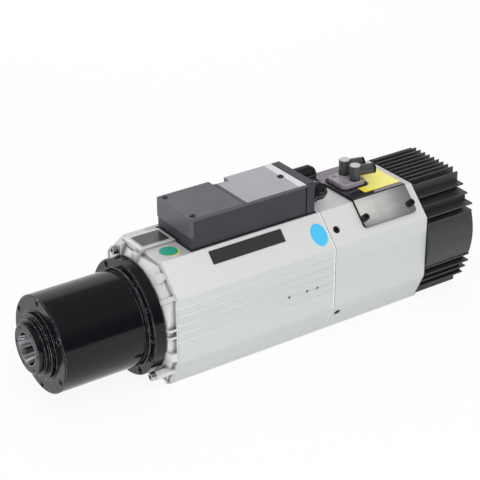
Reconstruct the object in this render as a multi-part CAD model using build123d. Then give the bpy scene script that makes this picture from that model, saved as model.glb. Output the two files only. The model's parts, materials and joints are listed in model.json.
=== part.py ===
from build123d import *
import os
from math import atan2, cos, degrees, hypot, radians, sin

# Tool-changing motor spindle, air cooled, with a 7:24 tool taper.
# X runs along the spindle axis from the nose to the fan, Z points up to the terminal box,
# and the origin is the centre of the shaft's nose face, which is the taper's gauge plane.
# All sizes are in millimetres.

# Tool taper and shaft
gauge_radius = 31.75 / 2
taper_ratio = 7 / 24
taper_depth = 48.4
shaft_nose_radius = 24.4
shaft_nose_chamfer = 1.0
shaft_step_depth = 3.0
shaft_seat_radius = 20.0
shaft_middle_radius = 19.0
shaft_rear_radius = 17.5
pilot_radius = 9.0
gripper_bore_radius = 9.3
relief_radius = 11.6
relief_lead = 3.6
relief_length = 14.5
closing_slope = 1.5
gripper_bore_length = 47.5
spring_chamber_radius = 12.5
balance_hole_radius = 1.3
balance_hole_circle = 20.5
balance_hole_depth = 6.0
balance_hole_count = 6
balance_hole_start = 57.0

# Nose housing and its flange
nose_reach = 13.0
nose_radius = 47.5
nose_length = 85.0
nose_chamfer = 1.2
neck_radius = 45.8
neck_width = 2.6
neck_lead = 0.8
boss_radius = 49.0
boss_height = 1.0
flange_radius = 57.3
flange_thickness = 12.1
flange_chamfer = 0.8
spigot_radius = 50.0
spigot_length = 6.0
cover_thickness = 8.0
face_screw_circle = 43.0
face_screw_count = 6
face_screw_start = 30.0
face_jack_radius = 1.2
face_jack_angle = 47.0
face_jack_depth = 5.0
face_screw_sink = 0.6
flange_screw_circle = 52.6
flange_screw_count = 6
flange_screw_start = 58.0
flange_jack_radius = 2.2
flange_jack_wall = 2.0
flange_screw_sink = 1.0

# Labyrinth collar
collar_step_radius = 27.5
collar_ring_radius = 31.5
collar_flange_radius = 33.8
collar_neck_radius = 28.0
collar_groove_radius = 29.5
collar_reach = 8.0
collar_step_width = 3.5
collar_ring_width = 3.0
collar_flange_reach = 1.0
collar_edge = 0.5
collar_back_gap = 0.5
labyrinth_gap = 0.4

# Front and rear bearings
front_bearing_width = 15.0
front_spacer_width = 8.0
front_outer_radius = 34.0
front_outer_race = 29.6
front_inner_race = 24.4
front_ball_radius = 3.8
front_ball_count = 8
rear_bearing_width = 14.0
rear_outer_radius = 31.0
rear_outer_race = 26.7
rear_inner_race = 21.8
rear_ball_radius = 3.5
rear_ball_count = 8
rear_spacer_width = 2.0
race_clearance = 0.08
race_relief = 0.4
spacer_relief = 0.6
cage_thickness = 1.6
cage_inset = 2.0
locknut_width = 10.0
locknut_slot_count = 4
locknut_slot_half = 2.5
locknut_slot_depth = 2.0
speed_ring_gap = 1.0
speed_ring_width = 6.0
speed_ring_radius = 23.0
speed_ring_tooth = 2.5
speed_ring_teeth = 8
speed_ring_slot_half = 1.6
shaft_tail = 2.0
front_locknut_radius = 27.0
rear_locknut_radius = 24.5
rear_shield_gap = 1.0
rear_shield_slope = 4.0
rear_shield_step = 6.0

# Outline of the octagonal motor casing
top_half = 34.3
top_z = 66.1
side_half = 61.3
shoulder_z = 38.1
hip_z = -27.2
base_half = 45.8
base_z = -59.9
edge_radius = 1.6
base_edge_radius = 7.0

# Lengths along the axis
shield_length = 10.8
body_length = 181.1
rear_length = 115.3
fan_gasket_thickness = 1.0
fan_cover_length = 59.1

# Front end shield
shield_plate = 1.8
shield_inset = 0.6
shield_pocket = 3.2
shield_rib = 4.4
shield_rib_lean = 2.8
shield_rib_foot = 2.0
shield_rib_bite = 0.5
hip_rib = 8.0
hip_rib_lean = 4.5
base_rib = 3.6
twin_rib = 2.0
twin_rib_pitch = 7.8
twin_rib_z = 3.9
shield_crown_rise = 20.0
shield_crown_flat = 1.0
blind_boss_inset = 21.9
blind_boss_drop = 12.6
pad_front = 5.5
pad_near = -6.5
pad_far = 22.6
pad_height = 2.9
pad_gap = 0.2
pad_edge = 0.9
pad_root = 3.0
pad_saddle = 8.0
pad_web = 3.0
pad_bite = 1.0
shield_lip = 2.5
shield_lip_wall = 4.0
shield_web_bite = 1.0
shield_web_step = 0.5
tie_boss_radius = 4.7
tie_boss_clearance = 0.6
lower_tie_inset = 11.3
lower_tie_rise = 20.2
lower_tie_reach = 20.5
upper_tie_inset = 4.8
upper_tie_drop = 10.3
upper_tie_reach = 10.5
tie_engagement = 6.0

# Motor body, stator and rotor
body_bore = 46.0
groove_width = 1.0
groove_depth = 0.35
groove_levels = (28.7, 19.8, 10.9, 2.0, -6.9)
plug_offsets = (55.4, 33.8, 21.8)
plug_radius = 1.6
plug_depth = 1.5
plug_z = 1.6
stator_start = 16.5
rear_space = 64.6
stator_bore = 30.4
slot_count = 18
slot_width = 4.6
slot_depth = 9.5
slot_offset = 2.2
slot_liner = 0.15
winding_overhang = 14.0
winding_inner = 33.0
winding_outer = 44.0
winding_gap = 7.0
winding_edge = 3.0
rear_shoulder_width = 6.0
air_gap = 0.5
rotor_inset = 2.0
end_ring_length = 6.0
end_ring_outer = 28.0
end_ring_gap = 2.0

# Drawbar, springs and gripper
drawbar_radius = 6.0
drawbar_guide_radius = 9.0
drawbar_guide_length = 9.0
drawbar_tail_radius = 8.0
drawbar_tail_reach = 9.0
spring_outer = 12.0
spring_inner = 6.3
spring_groups = 8
spring_group_length = 16.25
spring_group_thickness = 4.6
drawbar_nut_length = 12.0
drawbar_nut_edge = 1.0
finger_count = 4
finger_span = 76.0
finger_start = 45.0
finger_head_x = 67.0
finger_head_length = 3.0
finger_head_radius = 8.6
finger_head_edge = 0.8
finger_lead = 1.0
finger_neck_slope = 1.5
finger_back_slope = 1.0
finger_shank_radius = 8.0
finger_shank_bore = 6.4
finger_grip_bore = 4.9
finger_heel_length = 5.0
finger_length = 36.2
heel_play = 0.25
drawbar_neck_radius = 4.6
drawbar_collar_radius = 6.0
drawbar_collar_length = 6.0
ejector_length = 8.0
ejector_step = 1.0
ejector_tip_length = 2.0
ejector_tip_inset = 2.5

# Pneumatic release cylinder
cylinder_bore = 44.0
cylinder_start = 20.0
cylinder_length = 44.0
cylinder_wall = 7.5
cylinder_cover_length = 10.0
cylinder_boss_radius = 18.0
cylinder_boss_height = 3.0
piston_length = 18.0
piston_back = 3.0
piston_rod_radius = 12.0
piston_tail_radius = 10.0
piston_tail_length = 44.0
piston_gap = 1.15
piston_edge = 1.0
slide_clearance = 0.05
seal_width = 3.5
seal_depth = 3.0
seal_gap = 0.02
seal_inset = 3.0
target_radius = 16.0
target_length = 6.0
target_start = 30.0
return_spring_radius = 3.6
return_spring_wall = 1.2
return_spring_circle = 30.0
return_spring_count = 4
rear_cavity_radius = 50.0
rear_bore_gap = 6.0
rear_front_edge = 0.7
rear_screw_inset = 9.5
rear_screw_drop = 21.5
rear_screw_sink = 4.5
lower_screw_inset = 7.5
lower_screw_drop = 11.5

# Position sensors below the cover plate
sensor_radius = 4.0
sensor_nut_radius = 6.5
sensor_nut_height = 4.0
sensor_places = ((83.0, -7.0), (94.0, 7.0))
sensor_gap = 1.0
sensor_clearance = 0.1
sensor_top = 62.0
pocket_start = 48.0
pocket_end = 102.0
pocket_half = 20.0
pocket_floor = 56.0

# Bent cover plate on the rear housing
plate_start = 39.9
plate_length = 65.5
plate_drop = 29.3
plate_thickness = 2.0
plate_gasket = 1.0
plate_bend = 2.2
plate_corner = 3.5
plate_screw_drop = 19.6
plate_screw_inset = 3.9
air_passage_radius = 2.5

# Air manifold and push-in elbows
manifold_start = 45.2
manifold_length = 28.5
manifold_half = 14.6
manifold_corner = 5.0
manifold_height = 4.6
manifold_edge = 0.8
manifold_screw_inset = 5.5
manifold_screw_sink = 1.5
manifold_gasket_rim = 3.0
manifold_gasket = 0.6
elbow_offset = 18.0
elbow_pitch = 17.2
elbow_radius = 5.8
elbow_height = 16.4
elbow_stud_radius = 4.8
stud_depth = 3.6
elbow_collar_height = 1.4
elbow_pin_radius = 3.0
elbow_pin_length = 3.0
elbow_cap_radius = 5.2
elbow_play = 0.3
elbow_flutes = 8
elbow_flute_radius = 0.7
elbow_flute_overrun = 1.0
elbow_arm_angle = -13.0
elbow_arm_radius = 5.5
elbow_arm_reach = 18.4
elbow_arm_z = 9.6
elbow_arm_edge = 0.6
elbow_cap_height = 1.0
elbow_cap_edge = 0.3
tube_radius = 4.05
tube_depth = 11.0
collet_radius = 4.9
collet_flange_radius = 5.4
collet_flange = 1.2
collet_gap = 1.3
collet_length = 6.0
collet_bottom_gap = 0.2

# Terminal box with its lids and cable glands
box_start = 33.8
box_back_inset = 4.2
box_near = -32.1
box_far = 27.6
box_top = 98.9
box_wall = 3.0
box_floor = 3.0
box_gasket = 1.0
box_gasket_rim = 0.8
box_corner = 1.5
passage_inset = 20.0
passage_radius = 8.0
end_plate = 9.8
front_lid_length = 61.9
lid_thickness = 3.0
lid_skirt = 19.6
lid_split = 0.6
lid_edge = 0.5
lid_recess = 0.5
lid_skirt_clearance = 0.1
lid_overhang = 0.6
lid_groove_inset = 2.0
lid_groove_width = 0.9
lid_groove_depth = 0.6
notch_start = 59.0
notch_length = 18.0
notch_depth = 8.0
notch_floor = 14.0
tower_base = 1.0
lid_screw_inset = 6.0
rear_lid_screw_inset = 10.3
lid_screw_depth = 2.2
lid_post_radius = 4.4
gland_z = 83.0
gland_near_y = -22.5
gland_far_y = 14.0
gland_near_length = 18.0
gland_far_length = 32.5
gland_radius = 9.3
gland_hex = 10.0
gland_hex_length = 5.0
gland_thread_radius = 7.0
gland_hole_gap = 1.0
gland_tail = 2.0
gland_entry_radius = 5.5
gland_seal_radius = 4.0
gland_seal_length = 8.0
gland_plug_recess = 0.8
gland_plug_edge = 0.4
gland_dome = 6.0
gland_nut_gap = 0.4
gland_shoulder = 5.5
gland_shoulder_drop = 2.0
gland_crown = 1.6
gland_crown_drop = 4.2
gland_mouth_lip = 0.9
gland_pocket = 5.6
gland_rib_count = 12
gland_rib_radius = 0.8
gland_rib_end = 6.5

# Finned fan cover, fan and guard
fin_count = 9
fin_pitch = 7.25
fin_top_z = 67.2
fin_tip = 1.5
fin_root = 2.8
fin_foot_z = 40.0
corner_fin_y = 36.3
corner_fin_z = 64.4
corner_fin_foot_z = 30.0
cover_root_radius = 58.8
cover_bore = 54.5
side_fin_proud = 0.6
side_fin_foot = 30.0
side_fin_levels = (54.0, 46.6, 38.1, 30.2, -19.6, -27.4, -35.8, -44.6)
side_panel_top = 29.0
side_panel_low = -18.5
side_panel_bulge = 65.4
cover_foot_half = 41.0
cover_foot_z = -59.2
cover_boss_radius = 5.6
cover_boss_circle = 60.6
cover_screw_lift = 4.0
cover_boss_angles = (42.0, 138.0, 222.0, 318.0)
guard_seat_width = 2.5
guard_thickness = 2.0
guard_ring = 2.4
guard_ring_radii = (14.0, 24.0, 34.0, 44.0)
guard_spoke = 4.0
guard_spoke_count = 4
bracket_gap = 2.0
bracket_thickness = 5.0
bracket_arm_count = 4
bracket_rim = 3.0
bracket_arm = 9.0
fan_motor_radius = 21.0
fan_motor_length = 18.0
fan_motor_floor = 2.0
fan_hub_radius = 25.0
fan_hub_bore = 22.0
fan_hub_length = 25.0
fan_hub_gap = 2.0
fan_hub_edge = 2.0
fan_hub_clearance = 1.0
fan_blade_count = 7
fan_blade_radius = 51.5
fan_blade_thickness = 1.8
fan_blade_chord = 26.0
fan_blade_pitch = 38.0
fan_blade_twist = 8.0
fan_blade_root = 1.5
fan_blade_bite = 0.8
fan_shaft_radius = 3.0
fan_shaft_inset = 3.0
fan_shaft_bite = 0.5

# Fasteners: radius of head, length of head, radius of shank, length of shank
screw_m3 = (2.75, 3.0, 1.5, 6.0)
screw_m4 = (3.5, 4.0, 2.0, 9.0)
screw_m5 = (4.25, 5.0, 2.5, 12.0)
head_clearance = 0.35
head_edge_share = 0.12
socket_depth_share = 0.5
socket_size_share = 0.95
driver_reach = 60.0
hole_bottom_gap = 0.5
foot_bolt_radius = 3.4
foot_bolt_depth = 11.0
foot_bolt_spacing_x = 140.0
foot_bolt_spacing_y = 60.0
foot_bolt_start = 22.0

# How far a cut runs past the face that it goes through
past = 1.0

# Within how much two sizes count as the same when an edge is looked up
match_tolerance = 0.001

# Places along the axis, worked out from the lengths above
housing_front = nose_reach
bearing_front = housing_front + cover_thickness
shaft_step = housing_front + shaft_step_depth
bearing_back = bearing_front + 2 * front_bearing_width + front_spacer_width
neck_start = housing_front + nose_length
flange_front = neck_start + neck_width + boss_height
flange_back = flange_front + flange_thickness
body_front = flange_back + shield_length
body_back = body_front + body_length
rear_back = body_back + rear_length
cover_front = rear_back + fan_gasket_thickness
cover_back = cover_front + fan_cover_length
guard_seat_radius = cover_bore + guard_seat_width
taper_end = taper_depth
relief_start = taper_end + relief_lead
closing_start = relief_start + relief_length
chamber_start = closing_start + gripper_bore_length
stator_front = body_front + stator_start
stator_back = body_back - rear_space
rotor_front = stator_front + rotor_inset
rotor_back = stator_back - rotor_inset
rear_shoulder = stator_back + winding_overhang + winding_gap
rear_bearing_front = rear_shoulder + rear_shoulder_width
rear_bearing_back = rear_bearing_front + rear_bearing_width
speed_ring_front = rear_bearing_back + rear_spacer_width + locknut_width + speed_ring_gap
shaft_back = speed_ring_front + speed_ring_width + shaft_tail
drawbar_back = shaft_back + drawbar_tail_reach
cylinder_front = body_back + cylinder_start
cylinder_back = cylinder_front + cylinder_length
piston_front = cylinder_back - piston_back - piston_length
piston_rear = piston_front + piston_length
plate_front = body_back + plate_start
box_front = body_front + box_start
box_back = body_back - box_back_inset
chamfer_angle = degrees(atan2(top_z - shoulder_z, side_half - top_half))


def turned(*points):
    """A solid turned about the spindle axis from its (x, radius) outline."""
    return revolve(make_face(Polyline(*points, close=True)), Axis.X)


def ring(x0, x1, inner, outer):
    return turned((x0, inner), (x1, inner), (x1, outer), (x0, outer))


def rod(x0, x1, radius, y=0.0, z=0.0):
    """A cylinder along X."""
    place = Plane(origin=(x0, y, z), x_dir=(0, 1, 0), z_dir=(1, 0, 0))
    return extrude(place * Circle(radius), x1 - x0)


def prism(x0, x1, outline):
    """A YZ outline drawn out along X."""
    return extrude(Plane.YZ.offset(x0) * outline, x1 - x0)


def block(x0, x1, y0, y1, z0, z1):
    middle = Pos((x0 + x1) / 2, (y0 + y1) / 2, (z0 + z1) / 2)
    return middle * Box(x1 - x0, y1 - y0, z1 - z0)


def around(radius, count, start):
    """(y, z) places on a circle about the axis, start in degrees from +Y towards +Z."""
    turns = [radians(start + 360 * i / count) for i in range(count)]
    return [(radius * cos(t), radius * sin(t)) for t in turns]


def octagon(inset=0.0, rounded=True):
    """Outline of the casing, drawn in from the outside by inset."""
    right = [(top_half, top_z), (side_half, shoulder_z), (side_half, hip_z), (base_half, base_z)]
    left = [(-y, z) for y, z in reversed(right)]
    face = Sketch() + make_face(Polyline(*right, *left, close=True))
    if rounded:
        face = fillet(face.vertices().sort_by(Axis.Y)[2:], edge_radius)
        face = fillet(face.vertices().sort_by(Axis.Y)[:2], base_edge_radius)
    if inset:
        face = offset(face, -inset, kind=Kind.INTERSECTION)
    return face


def cap_screw(size, place):
    """Socket-head cap screw: head above the place's plane, shank below it."""
    head_radius, head, shank_radius, shank = size
    body = extrude(Circle(head_radius), head)
    body = chamfer(body.edges().group_by(Axis.Z)[-1], head_radius * head_edge_share)
    key = RegularPolygon(shank_radius * socket_size_share, 6)
    socket = Pos(0, 0, head * socket_depth_share) * extrude(key, head)
    thread = extrude(Circle(shank_radius), -shank)
    return place * (body - socket + thread)


def screw_hole(size, place):
    """Clearance for a screw: head pocket above the place's plane, and its shank below."""
    head_radius, head, shank_radius, shank = size
    pocket = extrude(Circle(head_radius + head_clearance), driver_reach)
    return place * (pocket + extrude(Circle(shank_radius), -shank - hole_bottom_gap))


def forward(x, y, z):
    """A screw's seat that faces the tool end."""
    return Plane(origin=(x, y, z), x_dir=(0, 1, 0), z_dir=(-1, 0, 0))


def backward(x, y, z):
    """A screw's seat that faces the fan end."""
    return Plane(origin=(x, y, z), x_dir=(0, 1, 0), z_dir=(1, 0, 0))


def upward(x, y, z):
    return Plane(origin=(x, y, z), x_dir=(1, 0, 0), z_dir=(0, 0, 1))


def on_chamfer(x, drop, side, lift=0.0):
    """A seat on an upper chamfer, drop down from its top edge, on side -1 near or +1 far."""
    t = radians(chamfer_angle)
    normal = (0, side * sin(t), cos(t))
    y = side * (top_half + drop * cos(t)) + lift * normal[1]
    z = top_z - drop * sin(t) + lift * normal[2]
    return Plane(origin=(x, y, z), x_dir=(1, 0, 0), z_dir=normal)


def on_lower_chamfer(x, drop, side):
    """A seat on a lower chamfer, drop down from the hip."""
    run, fall = side_half - base_half, hip_z - base_z
    long = hypot(run, fall)
    normal = (0, side * fall / long, -run / long)
    y = side * (side_half - drop * run / long)
    return Plane(origin=(x, y, hip_z - drop * fall / long), x_dir=(1, 0, 0), z_dir=normal)


def group(solids):
    """Separate solids that share a node."""
    return Compound(children=[s for item in solids for s in item.solids()])


# Nose

face_screw_seats = [
    forward(housing_front + screw_m4[1] + face_screw_sink, y, z)
    for y, z in around(face_screw_circle, face_screw_count, face_screw_start)
]
flange_screw_seats = [
    forward(flange_front + screw_m4[1] + flange_screw_sink, y, z)
    for y, z in around(flange_screw_circle, flange_screw_count, flange_screw_start)
]


def front_bearing_cover():
    recess = collar_flange_radius + labyrinth_gap
    neck = collar_neck_radius + labyrinth_gap
    deep = shaft_step + collar_back_gap
    part = turned(
        (housing_front, recess),
        (deep, recess),
        (deep, neck),
        (bearing_front, neck),
        (bearing_front, nose_radius),
        (housing_front + nose_chamfer, nose_radius),
        (housing_front, nose_radius - nose_chamfer),
    )
    for seat in face_screw_seats:
        part -= screw_hole(screw_m4, seat)
    for y, z in around(face_screw_circle, 2, face_jack_angle):
        part -= rod(housing_front - past, housing_front + face_jack_depth, face_jack_radius, y, z)
    return part


def nose_housing():
    inner_shoulder = front_outer_race + race_relief
    part = turned(
        (bearing_front, front_outer_radius),
        (bearing_back, front_outer_radius),
        (bearing_back, inner_shoulder),
        (flange_back + spigot_length, inner_shoulder),
        (flange_back + spigot_length, spigot_radius),
        (flange_back, spigot_radius),
        (flange_back, flange_radius),
        (flange_front + flange_chamfer, flange_radius),
        (flange_front, flange_radius - flange_chamfer),
        (flange_front, boss_radius),
        (flange_front - boss_height, boss_radius - boss_height / 2),
        (flange_front - boss_height, neck_radius),
        (neck_start, neck_radius),
        (neck_start - neck_lead, nose_radius),
        (bearing_front, nose_radius),
    )
    for seat in face_screw_seats:
        part -= screw_hole(screw_m4, seat)
    for seat in flange_screw_seats:
        part -= screw_hole(screw_m4, seat)
    between = flange_screw_start + 180 / flange_screw_count
    for y, z in around(flange_screw_circle, flange_screw_count, between):
        part -= rod(flange_front - past, flange_back - flange_jack_wall, flange_jack_radius, y, z)
    return part


def labyrinth_collar():
    x = nose_reach - collar_reach
    ring_front = x + collar_step_width
    ring_back = ring_front + collar_ring_width
    flange_start = housing_front - collar_flange_reach
    edge = collar_edge
    return turned(
        (x, shaft_nose_radius),
        (shaft_step, shaft_nose_radius),
        (shaft_step, shaft_seat_radius),
        (bearing_front, shaft_seat_radius),
        (bearing_front, collar_neck_radius),
        (shaft_step, collar_neck_radius),
        (shaft_step, collar_flange_radius),
        (flange_start, collar_flange_radius),
        (flange_start, collar_groove_radius),
        (ring_back, collar_groove_radius),
        (ring_back, collar_ring_radius - edge),
        (ring_back - edge, collar_ring_radius),
        (ring_front + edge, collar_ring_radius),
        (ring_front, collar_ring_radius - edge),
        (ring_front, collar_step_radius),
        (x + edge, collar_step_radius),
        (x, collar_step_radius - edge),
    )


def inner_ring(x, width, bore, race, pitch, ball):
    groove = Pos(x + width / 2, 0, 0) * Rot(0, 90, 0) * Torus(pitch, ball + race_clearance)
    return ring(x, x + width, bore, race) - groove


def outer_ring(x, width, race, outer, pitch, ball):
    groove = Pos(x + width / 2, 0, 0) * Rot(0, 90, 0) * Torus(pitch, ball + race_clearance)
    return ring(x, x + width, race, outer) - groove


def caged_balls(x, width, inner_race, outer_race, ball, count):
    """Balls, and the cage ring that spaces them, as touching solids fused at their pockets."""
    pitch = (inner_race + outer_race) / 2
    half = cage_thickness / 2
    cage = ring(x + cage_inset, x + width - cage_inset, pitch - half, pitch + half)
    for y, z in around(pitch, count, 0):
        cage += Pos(x + width / 2, y, z) * Sphere(ball)
    return cage


front_pitch = (front_inner_race + front_outer_race) / 2
rear_pitch = (rear_inner_race + rear_outer_race) / 2
front_bearing_places = (bearing_front, bearing_front + front_bearing_width + front_spacer_width)


def bearing_outer_rings():
    rings = []
    width, ball = front_bearing_width, front_ball_radius
    for x in front_bearing_places:
        rings.append(outer_ring(x, width, front_outer_race, front_outer_radius, front_pitch, ball))
    width, ball = rear_bearing_width, rear_ball_radius
    rings.append(outer_ring(rear_bearing_front, width, rear_outer_race, rear_outer_radius, rear_pitch, ball))
    return group(rings)


def bearing_inner_rings():
    rings = []
    width, ball = front_bearing_width, front_ball_radius
    for x in front_bearing_places:
        rings.append(inner_ring(x, width, shaft_seat_radius, front_inner_race, front_pitch, ball))
    width, ball = rear_bearing_width, rear_ball_radius
    rings.append(inner_ring(rear_bearing_front, width, shaft_rear_radius, rear_inner_race, rear_pitch, ball))
    return group(rings)


def front_bearing_balls():
    width, ball, count = front_bearing_width, front_ball_radius, front_ball_count
    races = (front_inner_race, front_outer_race)
    return group(caged_balls(x, width, *races, ball, count) for x in front_bearing_places)


def outer_spacer():
    start = bearing_front + front_bearing_width
    return ring(start, start + front_spacer_width, front_outer_race + spacer_relief, front_outer_radius)


def inner_spacer():
    start = bearing_front + front_bearing_width
    return ring(start, start + front_spacer_width, shaft_seat_radius, front_inner_race - spacer_relief)


def locknut(x, bore, radius):
    part = ring(x, x + locknut_width, bore, radius)
    half = locknut_slot_half
    slot = block(x - past, x + locknut_width + past, -half, half, radius - locknut_slot_depth, radius + past)
    for i in range(locknut_slot_count):
        part -= Rot(360 * i / locknut_slot_count, 0, 0) * slot
    return part


def locknuts():
    front = locknut(bearing_back, shaft_seat_radius, front_locknut_radius)
    rear = locknut(rear_bearing_back + rear_spacer_width, shaft_rear_radius, rear_locknut_radius)
    return group([front, rear])


# Shaft and rotor

finger_heel_back = finger_head_x + finger_length


def spindle_shaft():
    seat_end = bearing_back + locknut_width
    end_radius = gauge_radius - taper_depth * taper_ratio / 2
    part = turned(
        (0, gauge_radius),
        (taper_end, end_radius),
        (taper_end, pilot_radius),
        (relief_start, pilot_radius),
        (relief_start, relief_radius),
        (closing_start - closing_slope, relief_radius),
        (closing_start, gripper_bore_radius),
        (chamber_start, gripper_bore_radius),
        (chamber_start, spring_chamber_radius),
        (shaft_back, spring_chamber_radius),
        (shaft_back, shaft_rear_radius),
        (rear_shoulder, shaft_rear_radius),
        (rear_shoulder, shaft_middle_radius),
        (seat_end, shaft_middle_radius),
        (seat_end, shaft_seat_radius),
        (shaft_step, shaft_seat_radius),
        (shaft_step, shaft_nose_radius),
        (shaft_nose_chamfer, shaft_nose_radius),
        (0, shaft_nose_radius - shaft_nose_chamfer),
    )
    for y, z in around(balance_hole_circle, balance_hole_count, balance_hole_start):
        part -= rod(-past, balance_hole_depth, balance_hole_radius, y, z)
    return part


def rotor_core():
    return ring(rotor_front, rotor_back, shaft_middle_radius, stator_bore - air_gap)


def rotor_end_rings():
    inner = shaft_middle_radius + end_ring_gap
    front = ring(rotor_front - end_ring_length, rotor_front, inner, end_ring_outer)
    back = ring(rotor_back, rotor_back + end_ring_length, inner, end_ring_outer)
    return group([front, back])


def slot_outlines(liner=0.0):
    """The stator's slots, each drawn in by the thickness of its liner."""
    depth, width = slot_depth - 2 * liner, slot_width - 2 * liner
    middle = stator_bore + slot_offset + slot_depth / 2
    return [
        Rot(0, 0, 360 * (i + 0.5) / slot_count) * Pos(middle, 0) * Rectangle(depth, width)
        for i in range(slot_count)
    ]


def stator_core():
    face = Circle(body_bore) - Circle(stator_bore)
    for slot in slot_outlines():
        face -= slot
    return prism(stator_front, stator_back, face)


def stator_windings():
    """Slot bars, and the rounded bundle of end turns at each end."""
    part = ring(stator_front - winding_overhang, stator_front, winding_inner, winding_outer)
    part = fillet(part.edges().group_by(Axis.X)[0], winding_edge)
    back = ring(stator_back, stator_back + winding_overhang, winding_inner, winding_outer)
    part += fillet(back.edges().group_by(Axis.X)[-1], winding_edge)
    for slot in slot_outlines(slot_liner):
        part += prism(stator_front, stator_back, slot)
    return part


def rear_bearing_housing():
    lip = rear_outer_race + race_relief
    front = rear_shoulder + rear_shield_gap
    return turned(
        (front, lip),
        (rear_bearing_front, lip),
        (rear_bearing_front, rear_outer_radius),
        (body_back, rear_outer_radius),
        (body_back, body_bore),
        (front + rear_shield_slope, body_bore),
        (front, body_bore - rear_shield_step),
    )


def rear_bearing_balls():
    races = (rear_inner_race, rear_outer_race)
    return caged_balls(rear_bearing_front, rear_bearing_width, *races, rear_ball_radius, rear_ball_count)


def speed_ring():
    """Toothed target ring that the speed sensor reads."""
    front, back = speed_ring_front, speed_ring_front + speed_ring_width
    root, half = speed_ring_radius - speed_ring_tooth, speed_ring_slot_half
    part = ring(front, back, shaft_rear_radius, speed_ring_radius)
    gap = block(front - past, back + past, -half, half, root, speed_ring_radius + past)
    for i in range(speed_ring_teeth):
        part -= Rot(360 * i / speed_ring_teeth, 0, 0) * gap
    return part


# Drawbar and gripper

groove_front = finger_heel_back - finger_heel_length - heel_play
groove_back = finger_heel_back + heel_play
spring_start = chamber_start
spring_end = spring_start + spring_groups * spring_group_length


def drawbar():
    collar_front = groove_front - drawbar_collar_length
    ejector = collar_front - ejector_length
    guide_back = groove_back + drawbar_guide_length
    return turned(
        (ejector, 0),
        (ejector, drawbar_collar_radius - ejector_tip_inset),
        (ejector + ejector_tip_length, drawbar_collar_radius - ejector_step),
        (collar_front, drawbar_collar_radius - ejector_step),
        (collar_front, drawbar_collar_radius),
        (groove_front, drawbar_collar_radius),
        (groove_front, drawbar_neck_radius),
        (groove_back, drawbar_neck_radius),
        (groove_back, drawbar_guide_radius),
        (guide_back, drawbar_guide_radius),
        (guide_back, drawbar_radius),
        (spring_end + drawbar_nut_length, drawbar_radius),
        (spring_end + drawbar_nut_length, drawbar_tail_radius),
        (drawbar_back, drawbar_tail_radius),
        (drawbar_back, 0),
    )


def drawbar_nut():
    part = ring(spring_end, spring_end + drawbar_nut_length, drawbar_radius, spring_outer)
    return chamfer(part.edges().group_by(Axis.X)[-1], drawbar_nut_edge)


def disc_springs():
    """Stack of disc springs in alternating groups, each pair drawn as one folded ring."""
    half = spring_group_length / 2
    lean = half - spring_group_thickness / 2
    solids = []
    for i in range(spring_groups):
        x = spring_start + i * spring_group_length
        solids.append(
            turned(
                (x, spring_inner),
                (x + lean, spring_outer),
                (x + spring_group_length - lean, spring_outer),
                (x + spring_group_length, spring_inner),
                (x + spring_group_length - spring_group_thickness, spring_inner),
                (x + half, spring_outer - spring_group_thickness / 2),
                (x + spring_group_thickness, spring_inner),
            )
        )
    return group(solids)


def gripper_finger(index):
    """One quarter of the gripper: hooked head, thin shank, and a heel in the drawbar's groove."""
    heel = finger_heel_back - finger_heel_length
    head_back = finger_head_x + finger_head_length
    face = make_face(
        Polyline(
            (finger_head_x, finger_grip_bore + finger_lead),
            (finger_head_x + finger_lead, finger_grip_bore),
            (head_back, finger_grip_bore),
            (head_back + finger_neck_slope, finger_shank_bore),
            (heel, finger_shank_bore),
            (heel, finger_grip_bore),
            (finger_heel_back, finger_grip_bore),
            (finger_heel_back, finger_shank_radius),
            (head_back + finger_back_slope, finger_shank_radius),
            (head_back, finger_head_radius),
            (finger_head_x + finger_head_edge, finger_head_radius),
            (finger_head_x, finger_head_radius - finger_head_edge),
            close=True,
        )
    )
    part = revolve(face, Axis.X, revolution_arc=finger_span)
    first = finger_start + 360 * index / finger_count - finger_span / 2
    return Rot(first, 0, 0) * part


# Front end shield and motor body

tie_seats = [
    (lower_tie_inset - side_half, base_z + lower_tie_rise, lower_tie_reach),
    (side_half - lower_tie_inset, base_z + lower_tie_rise, lower_tie_reach),
    (top_half - upper_tie_inset, top_z - upper_tie_drop, upper_tie_reach),
]
shield_plate_x = body_front - shield_plate
shield_rib_root = spigot_radius + shield_rib_foot
shield_rib_back = shield_plate_x + shield_rib_bite


def tie_screw(reach):
    """Cap screw that is sunk reach in front of the body and bites into it."""
    return (*screw_m5[:3], reach + tie_engagement)


def radial_bar(turn, width):
    """A rib from the hub out to the rim, turn in degrees from +Y towards +Z."""
    reach = flange_radius + shield_crown_rise
    bar = block(flange_back, shield_rib_back, shield_rib_root, reach, -width / 2, width / 2)
    return Rot(turn, 0, 0) * bar


def shield_ribs():
    """Corner ribs beside the shoulders and hips, twin ribs at mid height and one rib below."""
    shoulder = degrees(atan2(shoulder_z, side_half)) + shield_rib_lean
    hip = degrees(atan2(hip_z, side_half)) + hip_rib_lean
    bars = [(-90.0, base_rib)]
    for turn, width in ((shoulder, shield_rib), (hip, hip_rib)):
        bars += [(turn, width), (180 - turn, width)]
    base = degrees(atan2(base_z, base_half))
    return bars + [(base, base_rib), (180 - base, base_rib)]


def shield_cone(drop):
    """Solid that widens steeply from the flange to the rim, where it is drop below the ribs' crests."""
    root = flange_radius - shield_inset
    crown = root + shield_crown_rise - drop
    return turned(
        (flange_back, 0),
        (flange_back, root - drop / 2),
        (body_front - shield_crown_flat, crown),
        (body_front, crown),
        (body_front, 0),
    )


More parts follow.
